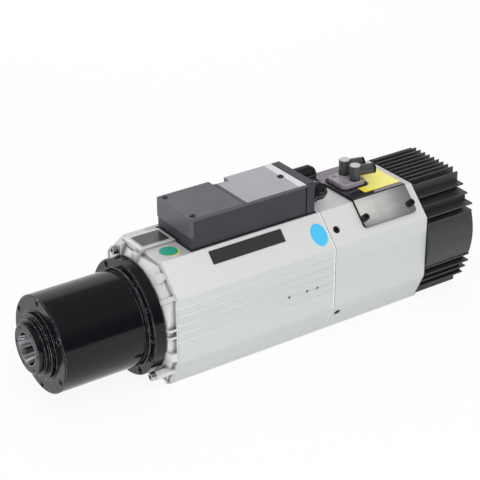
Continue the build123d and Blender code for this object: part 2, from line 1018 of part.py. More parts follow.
def front_end_shield():
    """Cast ring between the round flange and the octagonal body, with shallow pockets between ribs."""
    casing = prism(flange_back, body_front, octagon(shield_inset))
    ribs = [radial_bar(turn, width) for turn, width in shield_ribs()]
    for side in (-1, 1):
        for step in (-0.5, 0.5):
            z = twin_rib_z + step * twin_rib_pitch
            low, high = z - twin_rib / 2, z + twin_rib / 2
            near, far = sorted((side * shield_rib_root, side * (side_half + past)))
            ribs.append(block(flange_back, shield_rib_back, near, far, low, high))
    floor = prism(flange_back, body_front, octagon(shield_inset + shield_pocket))
    part = casing & shield_cone(shield_pocket) & floor
    for rib in ribs:
        part += rib & casing & shield_cone(0)
    blind = (blind_boss_inset - side_half, top_z - blind_boss_drop)
    part += rod(flange_back, body_front, tie_boss_radius, *blind) & casing & shield_cone(0)
    part += prism(shield_plate_x, body_front, octagon(shield_inset))
    part += pad_support()
    part -= rod(flange_back - past, body_front + past, spigot_radius)
    part += name_pad()
    web_front = flange_back + spigot_length
    part += ring(web_front, body_front + shield_lip, winding_outer - shield_lip_wall, body_bore)
    part += ring(web_front, body_front, body_bore - shield_web_bite, spigot_radius + shield_web_step)
    flange_room = rod(0, flange_back, flange_radius + tie_boss_clearance)
    for y, z, reach in tie_seats:
        seat = body_front - reach
        part += rod(seat, body_front, tie_boss_radius, y, z) - flange_room
        part -= screw_hole(tie_screw(reach), forward(seat, y, z))
    for seat in flange_screw_seats:
        part -= screw_hole(screw_m4, seat)
    return part


def pad_support():
    """Walls that carry the name pad over the top pocket."""
    low, high = spigot_radius, top_z - pad_bite
    near = block(flange_back, shield_plate_x, pad_near, pad_near + pad_saddle, low, high)
    return near + block(flange_back, shield_plate_x, pad_far - pad_web, pad_far, low, high)


def name_pad():
    """Raised pad in front of the terminal box that carries the name plate."""
    front = flange_back + pad_front
    back = box_front - box_gasket_rim - pad_gap
    pad = block(front, back, pad_near, pad_far, top_z, top_z + pad_height)
    pad = fillet(pad.edges().group_by(Axis.Z)[-1], pad_edge)
    return pad + block(front, body_front, pad_near, pad_far, top_z - pad_root, top_z)


def motor_body():
    part = prism(body_front, body_back, octagon())
    part -= rod(body_front - past, body_back + past, body_bore)
    cut = Rectangle(groove_depth * 2, groove_width)
    for level in groove_levels:
        for side in (-1, 1):
            part -= prism(body_front - past, body_back + past, Pos(side * side_half, level) * cut)
    for y, z, reach in tie_seats:
        part -= screw_hole(tie_screw(reach), forward(body_front - reach, y, z))
    for dx in (0, foot_bolt_spacing_x):
        for side in (-0.5, 0.5):
            hole = extrude(Circle(foot_bolt_radius), foot_bolt_depth)
            x = body_front + foot_bolt_start + dx
            part -= Pos(x, side * foot_bolt_spacing_y, base_z) * hole
    for offset_x in plug_offsets:
        place = Plane(origin=(body_back - offset_x, -side_half, plug_z), z_dir=(0, 1, 0))
        part -= place * extrude(Circle(plug_radius), plug_depth)
    part -= wire_passage(body_bore - past)
    return part


# Rear housing with the release cylinder

def rear_screw_seats():
    """Recessed screws that tie the rear housing to the bearing housing."""
    upper = []
    lower = []
    for side in (-1, 1):
        upper.append(on_chamfer(body_back + rear_screw_inset, rear_screw_drop, side, -rear_screw_sink))
        plane = on_lower_chamfer(body_back + lower_screw_inset, lower_screw_drop, side)
        lower.append(plane.offset(-rear_screw_sink))
    return upper + lower


def rear_housing():
    part = prism(body_back, rear_back, octagon())
    part = chamfer(part.faces().sort_by(Axis.X)[0].outer_wire().edges(), rear_front_edge)
    part -= rod(body_back - past, cylinder_front - cylinder_wall, rear_outer_radius + rear_bore_gap)
    part -= rod(cylinder_front, cylinder_back + cylinder_cover_length, cylinder_bore)
    part -= rod(body_back, cylinder_front + past, piston_rod_radius + slide_clearance)
    part -= rod(cylinder_back + cylinder_cover_length, rear_back + past, rear_cavity_radius)
    front, back = body_back + pocket_start, body_back + pocket_end
    part -= block(front, back, -pocket_half, pocket_half, pocket_floor, top_z + past)
    for dx, y in sensor_places:
        hole = extrude(Circle(sensor_radius + sensor_clearance), pocket_floor)
        part -= Pos(body_back + dx, y, target_radius) * hole
    for seat in rear_screw_seats():
        part -= screw_hole(screw_m4, seat)
    for seat in plate_screw_seats():
        part -= screw_hole(screw_m4, seat)
    for seat in cover_screw_seats():
        part -= screw_hole(screw_m5, seat)
    return part


def seal_places():
    return (piston_front + seal_inset, piston_rear - seal_inset - seal_width)


def piston():
    radius = cylinder_bore - slide_clearance
    nose = drawbar_back + piston_gap
    target = piston_rear + target_start
    part = turned(
        (nose, 0),
        (nose, piston_rod_radius - piston_edge),
        (nose + piston_edge, piston_rod_radius),
        (piston_front, piston_rod_radius),
        (piston_front, radius),
        (piston_rear, radius),
        (piston_rear, piston_tail_radius),
        (target, piston_tail_radius),
        (target, target_radius),
        (target + target_length, target_radius),
        (target + target_length, piston_tail_radius),
        (piston_rear + piston_tail_length, piston_tail_radius),
        (piston_rear + piston_tail_length, 0),
    )
    for x in seal_places():
        part -= ring(x, x + seal_width, radius - seal_depth, radius + past)
    return part


def piston_seals():
    radius = cylinder_bore - slide_clearance
    inner, outer = radius - seal_depth, cylinder_bore - seal_gap
    return group(ring(x, x + seal_width, inner, outer) for x in seal_places())


def return_springs():
    solids = []
    for y, z in around(return_spring_circle, return_spring_count, 45):
        outer = rod(cylinder_front, piston_front, return_spring_radius, y, z)
        inner = return_spring_radius - return_spring_wall
        solids.append(outer - rod(cylinder_front - past, piston_front + past, inner, y, z))
    return group(solids)


def cylinder_cover():
    bore = piston_tail_radius + slide_clearance
    cover_end = cylinder_back + cylinder_cover_length
    boss_end = cover_end + cylinder_boss_height
    return turned(
        (cylinder_back, bore),
        (cylinder_back, cylinder_bore),
        (cover_end, cylinder_bore),
        (cover_end, cylinder_boss_radius),
        (boss_end, cylinder_boss_radius),
        (boss_end, bore),
    )


def position_sensors():
    solids = []
    for dx, y in sensor_places:
        low = target_radius + sensor_gap
        body = extrude(Circle(sensor_radius), sensor_top - low)
        nut = extrude(RegularPolygon(sensor_nut_radius, 6), sensor_nut_height)
        solids.append(Pos(body_back + dx, y, low) * (body + Pos(0, 0, pocket_floor - low) * nut))
    return group(solids)


# Cover plate, manifold and elbows


def bent_outline(low, high, drop):
    """Strip over the top and both upper chamfers, from low to high above their faces."""
    t = radians(chamfer_angle)

    def edge(lift):
        fold = top_half + lift * (1 - cos(t)) / sin(t)
        y = top_half + drop * cos(t) + lift * sin(t)
        z = top_z - drop * sin(t) + lift * cos(t)
        return [(-y, z), (-fold, top_z + lift), (fold, top_z + lift), (y, z)]

    return make_face(Polyline(*edge(low), *reversed(edge(high)), close=True))


def bent_plate(x0, x1, low, high, drop, corner):
    """Bent strip with its four free corners rounded."""
    part = prism(x0, x1, bent_outline(low, high, drop))
    lowest = part.bounding_box().min.Z
    ends = [e for e in part.edges() if abs(e.center().Z - lowest) < high + past]
    short = [e for e in ends if abs(e.length - (high - low)) < match_tolerance]
    return fillet(short, corner)


def plate_screw_seats():
    lift = plate_gasket + plate_thickness
    places = (plate_front + plate_screw_inset, plate_front + plate_length - plate_screw_inset)
    return [on_chamfer(x, plate_screw_drop, side, lift) for side in (-1, 1) for x in places]


def manifold_plane(lift=0.0):
    middle = body_back + manifold_start + manifold_length / 2
    return upward(middle, 0, top_z + plate_gasket + plate_thickness + lift)


def elbow_places():
    x = body_back + manifold_start + elbow_offset
    return [(x, -elbow_pitch / 2), (x, elbow_pitch / 2)]


manifold_top = top_z + plate_gasket + plate_thickness + manifold_gasket + manifold_height


def plate_with_holes(part):
    for seat in plate_screw_seats():
        part -= screw_hole(screw_m4, seat)
    for x, y in elbow_places():
        drill = extrude(Circle(air_passage_radius), plate_gasket + plate_thickness + 2 * past)
        part -= Pos(x, y, top_z - past) * drill
    return part


def cover_plate_gasket():
    back = plate_front + plate_length
    return plate_with_holes(bent_plate(plate_front, back, 0.0, plate_gasket, plate_drop, plate_corner))


def cover_plate():
    back = plate_front + plate_length
    high = plate_gasket + plate_thickness
    part = bent_plate(plate_front, back, plate_gasket, high, plate_drop, plate_corner)
    folds = [e for e in part.edges().filter_by(Axis.X) if abs(e.center().Z - top_z - high) < match_tolerance]
    return plate_with_holes(fillet(folds, plate_bend))


def manifold_gasket_sheet():
    rim = manifold_gasket_rim
    face = RectangleRounded(manifold_length + 2 * rim, 2 * (manifold_half + rim), manifold_corner + rim)
    return manifold_plane() * extrude(face, manifold_gasket)


def manifold_screw_seats():
    x = body_back + manifold_start + manifold_screw_inset
    y = manifold_half - manifold_screw_inset
    return [upward(x, side * y, manifold_top - manifold_screw_sink) for side in (-1, 1)]


def manifold_block():
    face = RectangleRounded(manifold_length, 2 * manifold_half, manifold_corner)
    part = extrude(face, manifold_height)
    part = chamfer(part.edges().group_by(Axis.Z)[-1], manifold_edge)
    part = manifold_plane(manifold_gasket) * part
    for x, y in elbow_places():
        part -= Pos(x, y, manifold_top - stud_depth) * extrude(Circle(elbow_stud_radius), stud_depth + past)
    for seat in manifold_screw_seats():
        part -= screw_hole(screw_m3, seat)
    return part


def elbow_studs():
    """Threaded studs of the two elbows, each with a collar and the pin its elbow turns on."""
    solids = []
    for x, y in elbow_places():
        stud = Pos(0, 0, -stud_depth) * extrude(Circle(elbow_stud_radius), stud_depth)
        stud += extrude(RegularPolygon(elbow_radius, 6), elbow_collar_height)
        stud += extrude(Circle(elbow_pin_radius), elbow_collar_height + elbow_pin_length)
        solids.append(Pos(x, y, manifold_top) * stud)
    return group(solids)


def elbow_frame(index):
    """Plane at an elbow's foot, with x along its arm at rest."""
    x, y = elbow_places()[index]
    t = radians(elbow_arm_angle)
    return Plane(origin=(x, y, manifold_top), x_dir=(cos(t), sin(t), 0), z_dir=(0, 0, 1))


def arm_plane(x):
    return Plane(origin=(x, 0, elbow_arm_z), x_dir=(0, 1, 0), z_dir=(1, 0, 0))


def elbow_body(index):
    foot = elbow_collar_height + elbow_play
    barrel_top = elbow_height - elbow_cap_height - slide_clearance
    part = Pos(0, 0, foot) * extrude(Circle(elbow_radius), barrel_top - foot)
    flute_length = elbow_arm_z - elbow_arm_radius - foot + elbow_flute_overrun
    for i in range(elbow_flutes):
        turn = radians(360 * (i + 0.5) / elbow_flutes)
        flute = extrude(Circle(elbow_flute_radius), flute_length)
        part -= Pos(elbow_radius * cos(turn), elbow_radius * sin(turn), foot) * flute
    arm = arm_plane(0) * extrude(Circle(elbow_arm_radius), elbow_arm_reach)
    part += chamfer(arm.edges().group_by(Axis.X)[-1], elbow_arm_edge)
    part -= extrude(Circle(elbow_pin_radius + slide_clearance), elbow_height)
    socket = Circle(collet_radius + slide_clearance)
    part -= arm_plane(elbow_arm_reach - collet_length) * extrude(socket, collet_length + past)
    part -= arm_plane(elbow_arm_reach - tube_depth) * extrude(Circle(tube_radius), tube_depth)
    return elbow_frame(index) * part


def elbow_caps():
    """Discs that close the top of each elbow and hold it on its stud's pin."""
    solids = []
    for x, y in elbow_places():
        cap = extrude(Circle(elbow_cap_radius), elbow_cap_height)
        cap = chamfer(cap.edges().group_by(Axis.Z)[-1], elbow_cap_edge)
        low = elbow_height - elbow_cap_height
        pin_top = elbow_collar_height + elbow_pin_length
        neck = Pos(0, 0, pin_top - low) * extrude(Circle(elbow_pin_radius), low - pin_top)
        solids.append(Pos(x, y, manifold_top + low) * (cap + neck))
    return group(solids)


def release_collar(index):
    """Ring that is pressed in to let the air tube go."""
    inside = collet_length - collet_gap - collet_bottom_gap
    start = elbow_arm_reach - inside
    sleeve = arm_plane(start) * extrude(Circle(collet_radius), inside + collet_gap)
    flange = arm_plane(elbow_arm_reach + collet_gap) * extrude(Circle(collet_flange_radius), collet_flange)
    part = sleeve + flange
    part -= arm_plane(start - past) * extrude(Circle(tube_radius), collet_length + collet_flange + 2 * past)
    return elbow_frame(index) * part


# Terminal box

box_base_z = top_z + box_gasket
gland_centres = ((gland_near_y, gland_near_length), (gland_far_y, gland_far_length))


def box_plan(x0, x1, grow=0.0):
    return (x0 - grow, x1 + grow, box_near - grow, box_far + grow)


def wire_passage(low):
    """Way for the windings' leads from the body up into the terminal box."""
    middle = Pos(box_front + passage_inset, (box_near + box_far) / 2, low)
    return middle * extrude(Circle(passage_radius), box_base_z + box_floor + past - low)


def box_gasket_sheet():
    part = block(*box_plan(box_front, box_back, box_gasket_rim), top_z, box_base_z)
    return part - wire_passage(top_z - past)


def notch_cut():
    x0 = box_front + notch_start
    floor = box_base_z + notch_floor
    return block(x0, x0 + notch_length, box_far - notch_depth, box_far + past, floor, box_top + past)


def terminal_box():
    shell_top = box_top - lid_thickness
    back = box_back - end_plate
    shell = (box_front + lid_overhang, back, box_near + lid_overhang, box_far - lid_overhang)
    part = block(*shell, box_base_z, shell_top)
    part = fillet(part.edges().filter_by(Axis.Z), box_corner)
    part -= block(*box_plan(box_front, back, -box_wall), box_base_z + box_floor, box_top)
    x0 = box_front + notch_start
    tower = (x0 - box_wall, x0 + notch_length + box_wall, box_far - notch_depth - box_wall, box_far)
    part += block(*tower, box_base_z + tower_base, shell_top) & block(*shell, box_base_z, shell_top)
    part -= notch_cut()
    part -= wire_passage(box_base_z - past)
    for x, y in lid_screw_places():
        part += Pos(x, y, box_base_z) * extrude(Circle(lid_post_radius), shell_top - box_base_z)
    skirt = (box_front - past, box_front + box_wall, box_near - past, box_far + past)
    part -= block(*skirt, box_top - lid_skirt, box_top)
    for seat in lid_screw_seats():
        part -= screw_hole(screw_m3, seat)
    for y, length in gland_centres:
        part -= rod(back - box_wall - past, back + past, gland_thread_radius + gland_hole_gap, y, gland_z)
    return part


def lid_screw_places():
    near, far = box_near + lid_screw_inset, box_far - lid_screw_inset
    front = box_front + lid_screw_inset
    rear = box_back - end_plate - rear_lid_screw_inset
    return [(front, near), (front, far), (rear, (near + far) / 2)]


def lid_screw_seats():
    return [upward(x, y, box_top - lid_screw_depth) for x, y in lid_screw_places()]


def front_lid():
    end = box_front + front_lid_length
    part = block(*box_plan(box_front, end), box_top - lid_thickness, box_top)
    skirt = box_plan(box_front, box_front + box_wall - lid_skirt_clearance)
    part += block(*skirt, box_top - lid_skirt, box_top - lid_thickness)
    part = fillet(part.edges().filter_by(Axis.Z).group_by(Axis.X)[0], box_corner)
    part = chamfer(part.faces().sort_by(Axis.Z)[-1].outer_wire().edges(), lid_edge)
    part -= notch_cut()
    groove = end - lid_groove_inset
    across = (groove - lid_groove_width, groove, box_near - past, box_far + past)
    part -= block(*across, box_top - lid_groove_depth, box_top + past)
    for seat in lid_screw_seats():
        part -= screw_hole(screw_m3, seat)
    return part


def rear_lid():
    start = box_front + front_lid_length + lid_split
    part = block(*box_plan(start, box_back - end_plate), box_top - lid_thickness, box_top - lid_recess)
    part -= notch_cut()
    for seat in lid_screw_seats():
        part -= screw_hole(screw_m3, seat)
    return part


def gland_plate():
    part = block(*box_plan(box_back - end_plate, box_back), box_base_z, box_top)
    part = fillet(part.edges().filter_by(Axis.Z).group_by(Axis.X)[-1], box_corner)
    part = chamfer(part.faces().sort_by(Axis.Z)[-1].outer_wire().edges(), lid_edge)
    for y, length in gland_centres:
        part -= rod(box_back - end_plate - past, box_back + past, gland_thread_radius, y, gland_z)
    return part


def gland_body(y, length):
    hexagon = Pos(y, gland_z) * RegularPolygon(gland_hex, 6)
    part = prism(box_back, box_back + gland_hex_length, hexagon)
    tail = box_back - end_plate - gland_tail
    sleeve_end = box_back + length - gland_dome
    part += rod(tail, sleeve_end, gland_thread_radius, y, gland_z)
    part -= rod(tail - past, sleeve_end + past, gland_entry_radius, y, gland_z)
    return part


def gland_bodies():
    return group(gland_body(y, length) for y, length in gland_centres)


def gland_nut(y, length):
    """Domed nut with grip ribs that squeezes the seal."""
    start, end = box_back + gland_hex_length + gland_nut_gap, box_back + length
    mouth = gland_entry_radius - gland_mouth_lip
    part = turned(
        (start, gland_thread_radius),
        (start, gland_radius),
        (end - gland_shoulder, gland_radius),
        (end - gland_crown, gland_radius - gland_shoulder_drop),
        (end, gland_radius - gland_crown_drop),
        (end, mouth),
        (end - gland_pocket, mouth),
        (end - gland_pocket, gland_thread_radius),
    )
    cut = rod(start - past, end - gland_rib_end, gland_rib_radius)
    for i in range(gland_rib_count):
        turn = radians(360 * i / gland_rib_count)
        part -= Pos(0, gland_radius * cos(turn), gland_radius * sin(turn)) * cut
    return Pos(0, y, gland_z) * part


def gland_nuts():
    return group(gland_nut(y, length) for y, length in gland_centres)


def gland_seals():
    solids = []
    for y, length in gland_centres:
        end = box_back + length - gland_dome
        seal = ring(end - gland_seal_length, end, gland_seal_radius, gland_entry_radius)
        solids.append(Pos(0, y, gland_z) * seal)
    return group(solids)


def gland_plugs():
    """Blanking pins that close the glands until a cable is fitted."""
    solids = []
    for y, length in gland_centres:
        end = box_back + length
        inside = end - gland_dome - gland_seal_length
        pin = rod(inside, end - gland_plug_recess, gland_seal_radius, y, gland_z)
        solids.append(chamfer(pin.edges().group_by(Axis.X)[-1], gland_plug_edge))
    return group(solids)


# Fan cover and fan

def outline_reach(z):
    """Half-width of the casing outline at height z."""
    if z >= shoulder_z:
        return top_half + (top_z - z) / (top_z - shoulder_z) * (side_half - top_half)
    if z >= hip_z:
        return side_half
    return side_half - (hip_z - z) / (hip_z - base_z) * (side_half - base_half)


def tapered_fin(length):
    """Fin outline that points up from the origin, with draft from root to tip."""
    root, tip = fin_root / 2, fin_tip / 2
    return make_face(Polyline((-root, 0), (root, 0), (tip, length), (-tip, length), close=True))


def cover_boss_places():
    turns = [radians(angle) for angle in cover_boss_angles]
    return [(cover_boss_circle * cos(t), cover_boss_circle * sin(t)) for t in turns]


def fan_cover_outline():
    """Round wall with fins, side panels, a foot and screw bosses, about the fan's bore."""
    root = Sketch() + Circle(cover_root_radius)
    for side in (-1, 1):
        top = (side * side_half, side_panel_top)
        low = (side * side_half, side_panel_low)
        bulge = ThreePointArc(top, (side * side_panel_bulge, (side_panel_top + side_panel_low) / 2), low)
        root += make_face([bulge, Polyline(low, (0, side_panel_low), (0, side_panel_top), top)])
    foot = hip_z - cover_foot_z
    root += Pos(0, hip_z - foot / 2) * Rectangle(2 * cover_foot_half, foot)
    middle = (fin_count - 1) / 2
    for i in range(fin_count):
        root += Pos((i - middle) * fin_pitch, fin_foot_z) * tapered_fin(fin_top_z - fin_foot_z)
    for side in (-1, 1):
        root += Pos(side * corner_fin_y, corner_fin_foot_z) * tapered_fin(corner_fin_z - corner_fin_foot_z)
        for level in side_fin_levels:
            length = outline_reach(level) + side_fin_proud - side_fin_foot
            root += Pos(side * side_fin_foot, level) * Rot(0, 0, -90 * side) * tapered_fin(length)
    for y, z in cover_boss_places():
        root += Pos(y, z) * Circle(cover_boss_radius)
    return root - Circle(cover_bore)


def cover_screw_seats():
    return [backward(cover_front + cover_screw_lift, y, z) for y, z in cover_boss_places()]


def fan_cover():
    part = prism(cover_front, cover_back, fan_cover_outline())
    part -= rod(cover_back - guard_thickness, cover_back + past, guard_seat_radius)
    for seat in cover_screw_seats():
        part -= screw_hole(screw_m5, seat)
    return part


def fan_cover_gasket():
    part = prism(rear_back, cover_front, octagon())
    part -= rod(rear_back - past, cover_front + past, rear_cavity_radius)
    for seat in cover_screw_seats():
        part -= screw_hole(screw_m5, seat)
    return part


def fan_guard():
    half = guard_ring / 2
    face = Circle(guard_seat_radius) - Circle(guard_seat_radius - 2 * guard_ring)
    for radius in guard_ring_radii:
        face += Circle(radius + half) - Circle(radius - half)
    for i in range(guard_spoke_count):
        reach = guard_seat_radius - guard_ring - guard_ring_radii[0]
        bar = Pos(guard_ring_radii[0] + reach / 2, 0) * Rectangle(reach, guard_spoke)
        face += Rot(0, 0, 45 + 360 * i / guard_spoke_count) * bar
    return prism(cover_back - guard_thickness, cover_back, face)


bracket_front = cover_front + bracket_gap
bracket_back = bracket_front + bracket_thickness
fan_motor_back = bracket_back + fan_motor_length
hub_front = bracket_back + fan_hub_gap
hub_back = hub_front + fan_hub_length


def fan_bracket():
    """Rim, four arms and the disc that carries the fan motor."""
    face = Circle(cover_bore) - Circle(cover_bore - bracket_rim)
    reach = cover_bore - bracket_rim / 2
    for i in range(bracket_arm_count):
        face += Rot(0, 0, 360 * i / bracket_arm_count) * Pos(reach / 2, 0) * Rectangle(reach, bracket_arm)
    face += Circle(fan_motor_radius)
    return prism(bracket_front, bracket_back, face)


def fan_motor():
    part = rod(bracket_back, fan_motor_back, fan_motor_radius)
    bore = fan_shaft_radius + slide_clearance
    return part - rod(bracket_back + fan_motor_floor, fan_motor_back + past, bore)


def fan_impeller():
    """Cup over the fan motor, with its shaft and twisted blades."""
    ceiling = fan_motor_back + fan_hub_clearance
    cup = turned(
        (hub_front, fan_hub_bore),
        (hub_front, fan_hub_radius),
        (hub_back - fan_hub_edge, fan_hub_radius),
        (hub_back, fan_hub_radius - fan_hub_edge),
        (hub_back, 0),
        (ceiling, 0),
        (ceiling, fan_hub_bore),
    )
    part = cup + rod(bracket_back + fan_shaft_inset, ceiling + fan_shaft_bite, fan_shaft_radius)
    middle = (hub_front + hub_back) / 2
    section = Rectangle(fan_blade_chord, fan_blade_thickness)
    root = fan_hub_radius - fan_blade_root
    low = Plane(origin=(middle, 0, root), x_dir=(1, 0, 0), z_dir=(0, 0, 1))
    root_section = low * Rot(0, 0, fan_blade_pitch + fan_blade_twist) * section
    tip_section = low.offset(fan_blade_radius - root) * Rot(0, 0, fan_blade_pitch - fan_blade_twist) * section
    sweep = fan_blade_chord
    keep = ring(middle - sweep, middle + sweep, fan_hub_radius - fan_blade_bite, fan_blade_radius)
    blade = loft([root_section, tip_section]) & keep
    for i in range(fan_blade_count):
        part += Rot(360 * i / fan_blade_count, 0, 0) * blade
    return part


parts = {
    "front_bearing_cover": front_bearing_cover(),
    "nose_housing": nose_housing(),
    "labyrinth_collar": labyrinth_collar(),
    "nose_screws": group(cap_screw(screw_m4, seat) for seat in face_screw_seats + flange_screw_seats),
    "bearing_outer_rings": bearing_outer_rings(),
    "bearing_inner_rings": bearing_inner_rings(),
    "front_bearing_balls": front_bearing_balls(),
    "outer_spacer": outer_spacer(),
    "inner_spacer": inner_spacer(),
    "locknuts": locknuts(),
    "spindle_shaft": spindle_shaft(),
    "rotor_core": rotor_core(),
    "rotor_end_rings": rotor_end_rings(),
    "stator_core": stator_core(),
    "stator_windings": stator_windings(),
    "rear_bearing_housing": rear_bearing_housing(),
    "rear_bearing_balls": rear_bearing_balls(),
    "speed_ring": speed_ring(),
    "drawbar": drawbar(),
    "drawbar_nut": drawbar_nut(),
    "disc_springs": disc_springs(),
    **{f"gripper_finger_{i + 1}": gripper_finger(i) for i in range(finger_count)},
    "front_end_shield": front_end_shield(),
    "tie_screws": group(cap_screw(tie_screw(r), forward(body_front - r, y, z)) for y, z, r in tie_seats),
    "motor_body": motor_body(),
    "rear_housing": rear_housing(),
    "rear_housing_screws": group(cap_screw(screw_m4, seat) for seat in rear_screw_seats()),
    "piston": piston(),
    "piston_seals": piston_seals(),
    "return_springs": return_springs(),
    "cylinder_cover": cylinder_cover(),
    "position_sensors": position_sensors(),
    "gaskets": group([cover_plate_gasket(), manifold_gasket_sheet(), box_gasket_sheet(), fan_cover_gasket()]),
    "cover_plate": cover_plate(),
    "cover_plate_screws": group(cap_screw(screw_m4, seat) for seat in plate_screw_seats()),
    "manifold_block": manifold_block(),
    "elbow_studs": elbow_studs(),
    "elbow_caps": elbow_caps(),
    "near_elbow": elbow_body(0),
    "far_elbow": elbow_body(1),
    "near_release_collar": release_collar(0),
    "far_release_collar": release_collar(1),
    "terminal_box": terminal_box(),
    "front_lid": front_lid(),
    "rear_lid": rear_lid(),
    "lid_screws": group(cap_screw(screw_m3, seat) for seat in lid_screw_seats()),
    "gland_plate": gland_plate(),
    "gland_bodies": gland_bodies(),
    "gland_nuts": gland_nuts(),
    "gland_seals": gland_seals(),
    "gland_plugs": gland_plugs(),
    "fan_cover": fan_cover(),
    "fan_cover_screws": group(cap_screw(screw_m5, seat) for seat in cover_screw_seats()),
    "fan_guard": fan_guard(),
    "fan_bracket": fan_bracket(),
    "fan_motor": fan_motor(),
    "fan_impeller": fan_impeller(),
}

os.makedirs("parts", exist_ok=True)
for name, shape in parts.items():
    export_step(shape, f"parts/{name}.step")
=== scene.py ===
import json
from math import cos, pi, radians, sin, sqrt
from typing import NamedTuple

import bmesh
import bpy
from mathutils import Matrix, Vector


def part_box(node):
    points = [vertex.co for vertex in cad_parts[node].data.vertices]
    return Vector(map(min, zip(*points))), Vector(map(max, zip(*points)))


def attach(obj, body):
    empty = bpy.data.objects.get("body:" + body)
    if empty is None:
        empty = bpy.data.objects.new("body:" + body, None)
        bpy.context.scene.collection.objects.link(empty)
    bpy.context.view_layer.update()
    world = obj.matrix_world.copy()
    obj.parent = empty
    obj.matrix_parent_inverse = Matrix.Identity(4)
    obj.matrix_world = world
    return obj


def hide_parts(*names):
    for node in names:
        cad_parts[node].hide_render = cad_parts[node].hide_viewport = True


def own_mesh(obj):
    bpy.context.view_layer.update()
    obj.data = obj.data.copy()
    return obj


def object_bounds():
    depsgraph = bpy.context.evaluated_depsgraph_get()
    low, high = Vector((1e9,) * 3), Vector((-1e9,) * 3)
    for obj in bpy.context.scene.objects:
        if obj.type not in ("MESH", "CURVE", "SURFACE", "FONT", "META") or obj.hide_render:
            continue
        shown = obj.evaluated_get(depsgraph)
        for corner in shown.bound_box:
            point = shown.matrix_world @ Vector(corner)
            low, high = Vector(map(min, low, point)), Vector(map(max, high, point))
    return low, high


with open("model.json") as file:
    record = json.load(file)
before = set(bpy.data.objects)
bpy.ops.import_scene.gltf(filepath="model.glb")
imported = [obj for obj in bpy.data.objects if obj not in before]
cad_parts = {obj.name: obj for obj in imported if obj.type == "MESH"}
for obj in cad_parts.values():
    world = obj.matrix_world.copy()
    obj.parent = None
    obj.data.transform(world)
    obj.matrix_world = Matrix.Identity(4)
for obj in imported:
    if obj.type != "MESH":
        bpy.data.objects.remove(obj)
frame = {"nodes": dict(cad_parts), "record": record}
cad_low, cad_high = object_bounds()
nodes = frame["nodes"]
record = frame["record"]
housing = "housing"


def box_of(name):
    """A node's lowest and highest corner, in metres."""
    low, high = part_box(name)
    return Vector(low), Vector(high)


# The casing in metres, as in the frame: its flat top, and where its upper chamfer meets its side
top_half = 0.0343
top_z = 0.0661
side_half = 0.0613
shoulder_z = 0.0381
groove_depth = 0.00035
taper_mouth_radius = 0.01605
seam_x = box_of("motor_body")[1].x
cover_seam_x = box_of("front_bearing_cover")[1].x

# Printed films, and the gap that keeps what lies on the casing clear of it
film_thickness = 0.00018
film_lift = 0.00002

# Camera of the photograph: lens, angles in degrees, and where it stands
camera_lens_mm = 118.74
camera_sensor_mm = 36.0
camera_azimuth = -34.60
camera_elevation = 27.22
camera_roll = -0.14
camera_distance = 1.43682
camera_right = 0.19362
camera_up = 0.09853
camera_reach = 20.0


# Node helpers


class Nodes:
    """A node tree in the making, with short ways to add and join its nodes."""

    mix_colour_inputs = (6, 7)
    mix_colour_output = 2

    def __init__(self, tree):
        self.tree = tree

    def node(self, kind, **values):
        """A new node. Each value goes to its property of that name, or else to its input of that name."""
        node = self.tree.nodes.new(kind)
        for name, value in values.items():
            if hasattr(node, name):
                setattr(node, name, value)
            else:
                node.inputs[name.replace("_", " ")].default_value = value
        return node

    def link(self, source, target):
        self.tree.links.new(source, target)

    def fill(self, target, value):
        """Gives an input a number, a colour, or what comes out of another node."""
        if isinstance(value, tuple):
            target.default_value = (*value, 1)
        elif isinstance(value, (int, float)):
            target.default_value = value
        else:
            self.link(value, target)

    def split(self, vector):
        """The outputs X, Y and Z of a vector."""
        node = self.node("ShaderNodeSeparateXYZ")
        self.link(vector, node.inputs[0])
        return node.outputs

    def ranged(self, source, low, high, start=0.3, end=0.7, smoothing="LINEAR"):
        """Brings what lies between start and end to between low and high."""
        node = self.node("ShaderNodeMapRange", interpolation_type=smoothing)
        for name, value in (("From Min", start), ("From Max", end), ("To Min", low), ("To Max", high)):
            node.inputs[name].default_value = value
        self.link(source, node.inputs["Value"])
        return node.outputs["Result"]

    def math(self, operation, *terms):
        node = self.node("ShaderNodeMath", operation=operation)
        for socket, term in zip(node.inputs, terms):
            self.fill(socket, term)
        return node.outputs[0]

    def product(self, first, *others):
        for other in others:
            first = self.math("MULTIPLY", first, other)
        return first

    def mix(self, factor, under, over):
        """A colour between two, each a colour or an output."""
        node = self.node("ShaderNodeMix", data_type="RGBA")
        self.link(factor, node.inputs["Factor"])
        for index, colour in zip(self.mix_colour_inputs, (under, over)):
            self.fill(node.inputs[index], colour)
        return node.outputs[self.mix_colour_output]

    def cover(self, factor, under, over):
        """One shader over another, as far as the factor says."""
        node = self.node("ShaderNodeMixShader")
        for socket, source in zip(node.inputs, (factor, under, over)):
            self.link(source, socket)
        return node.outputs[0]


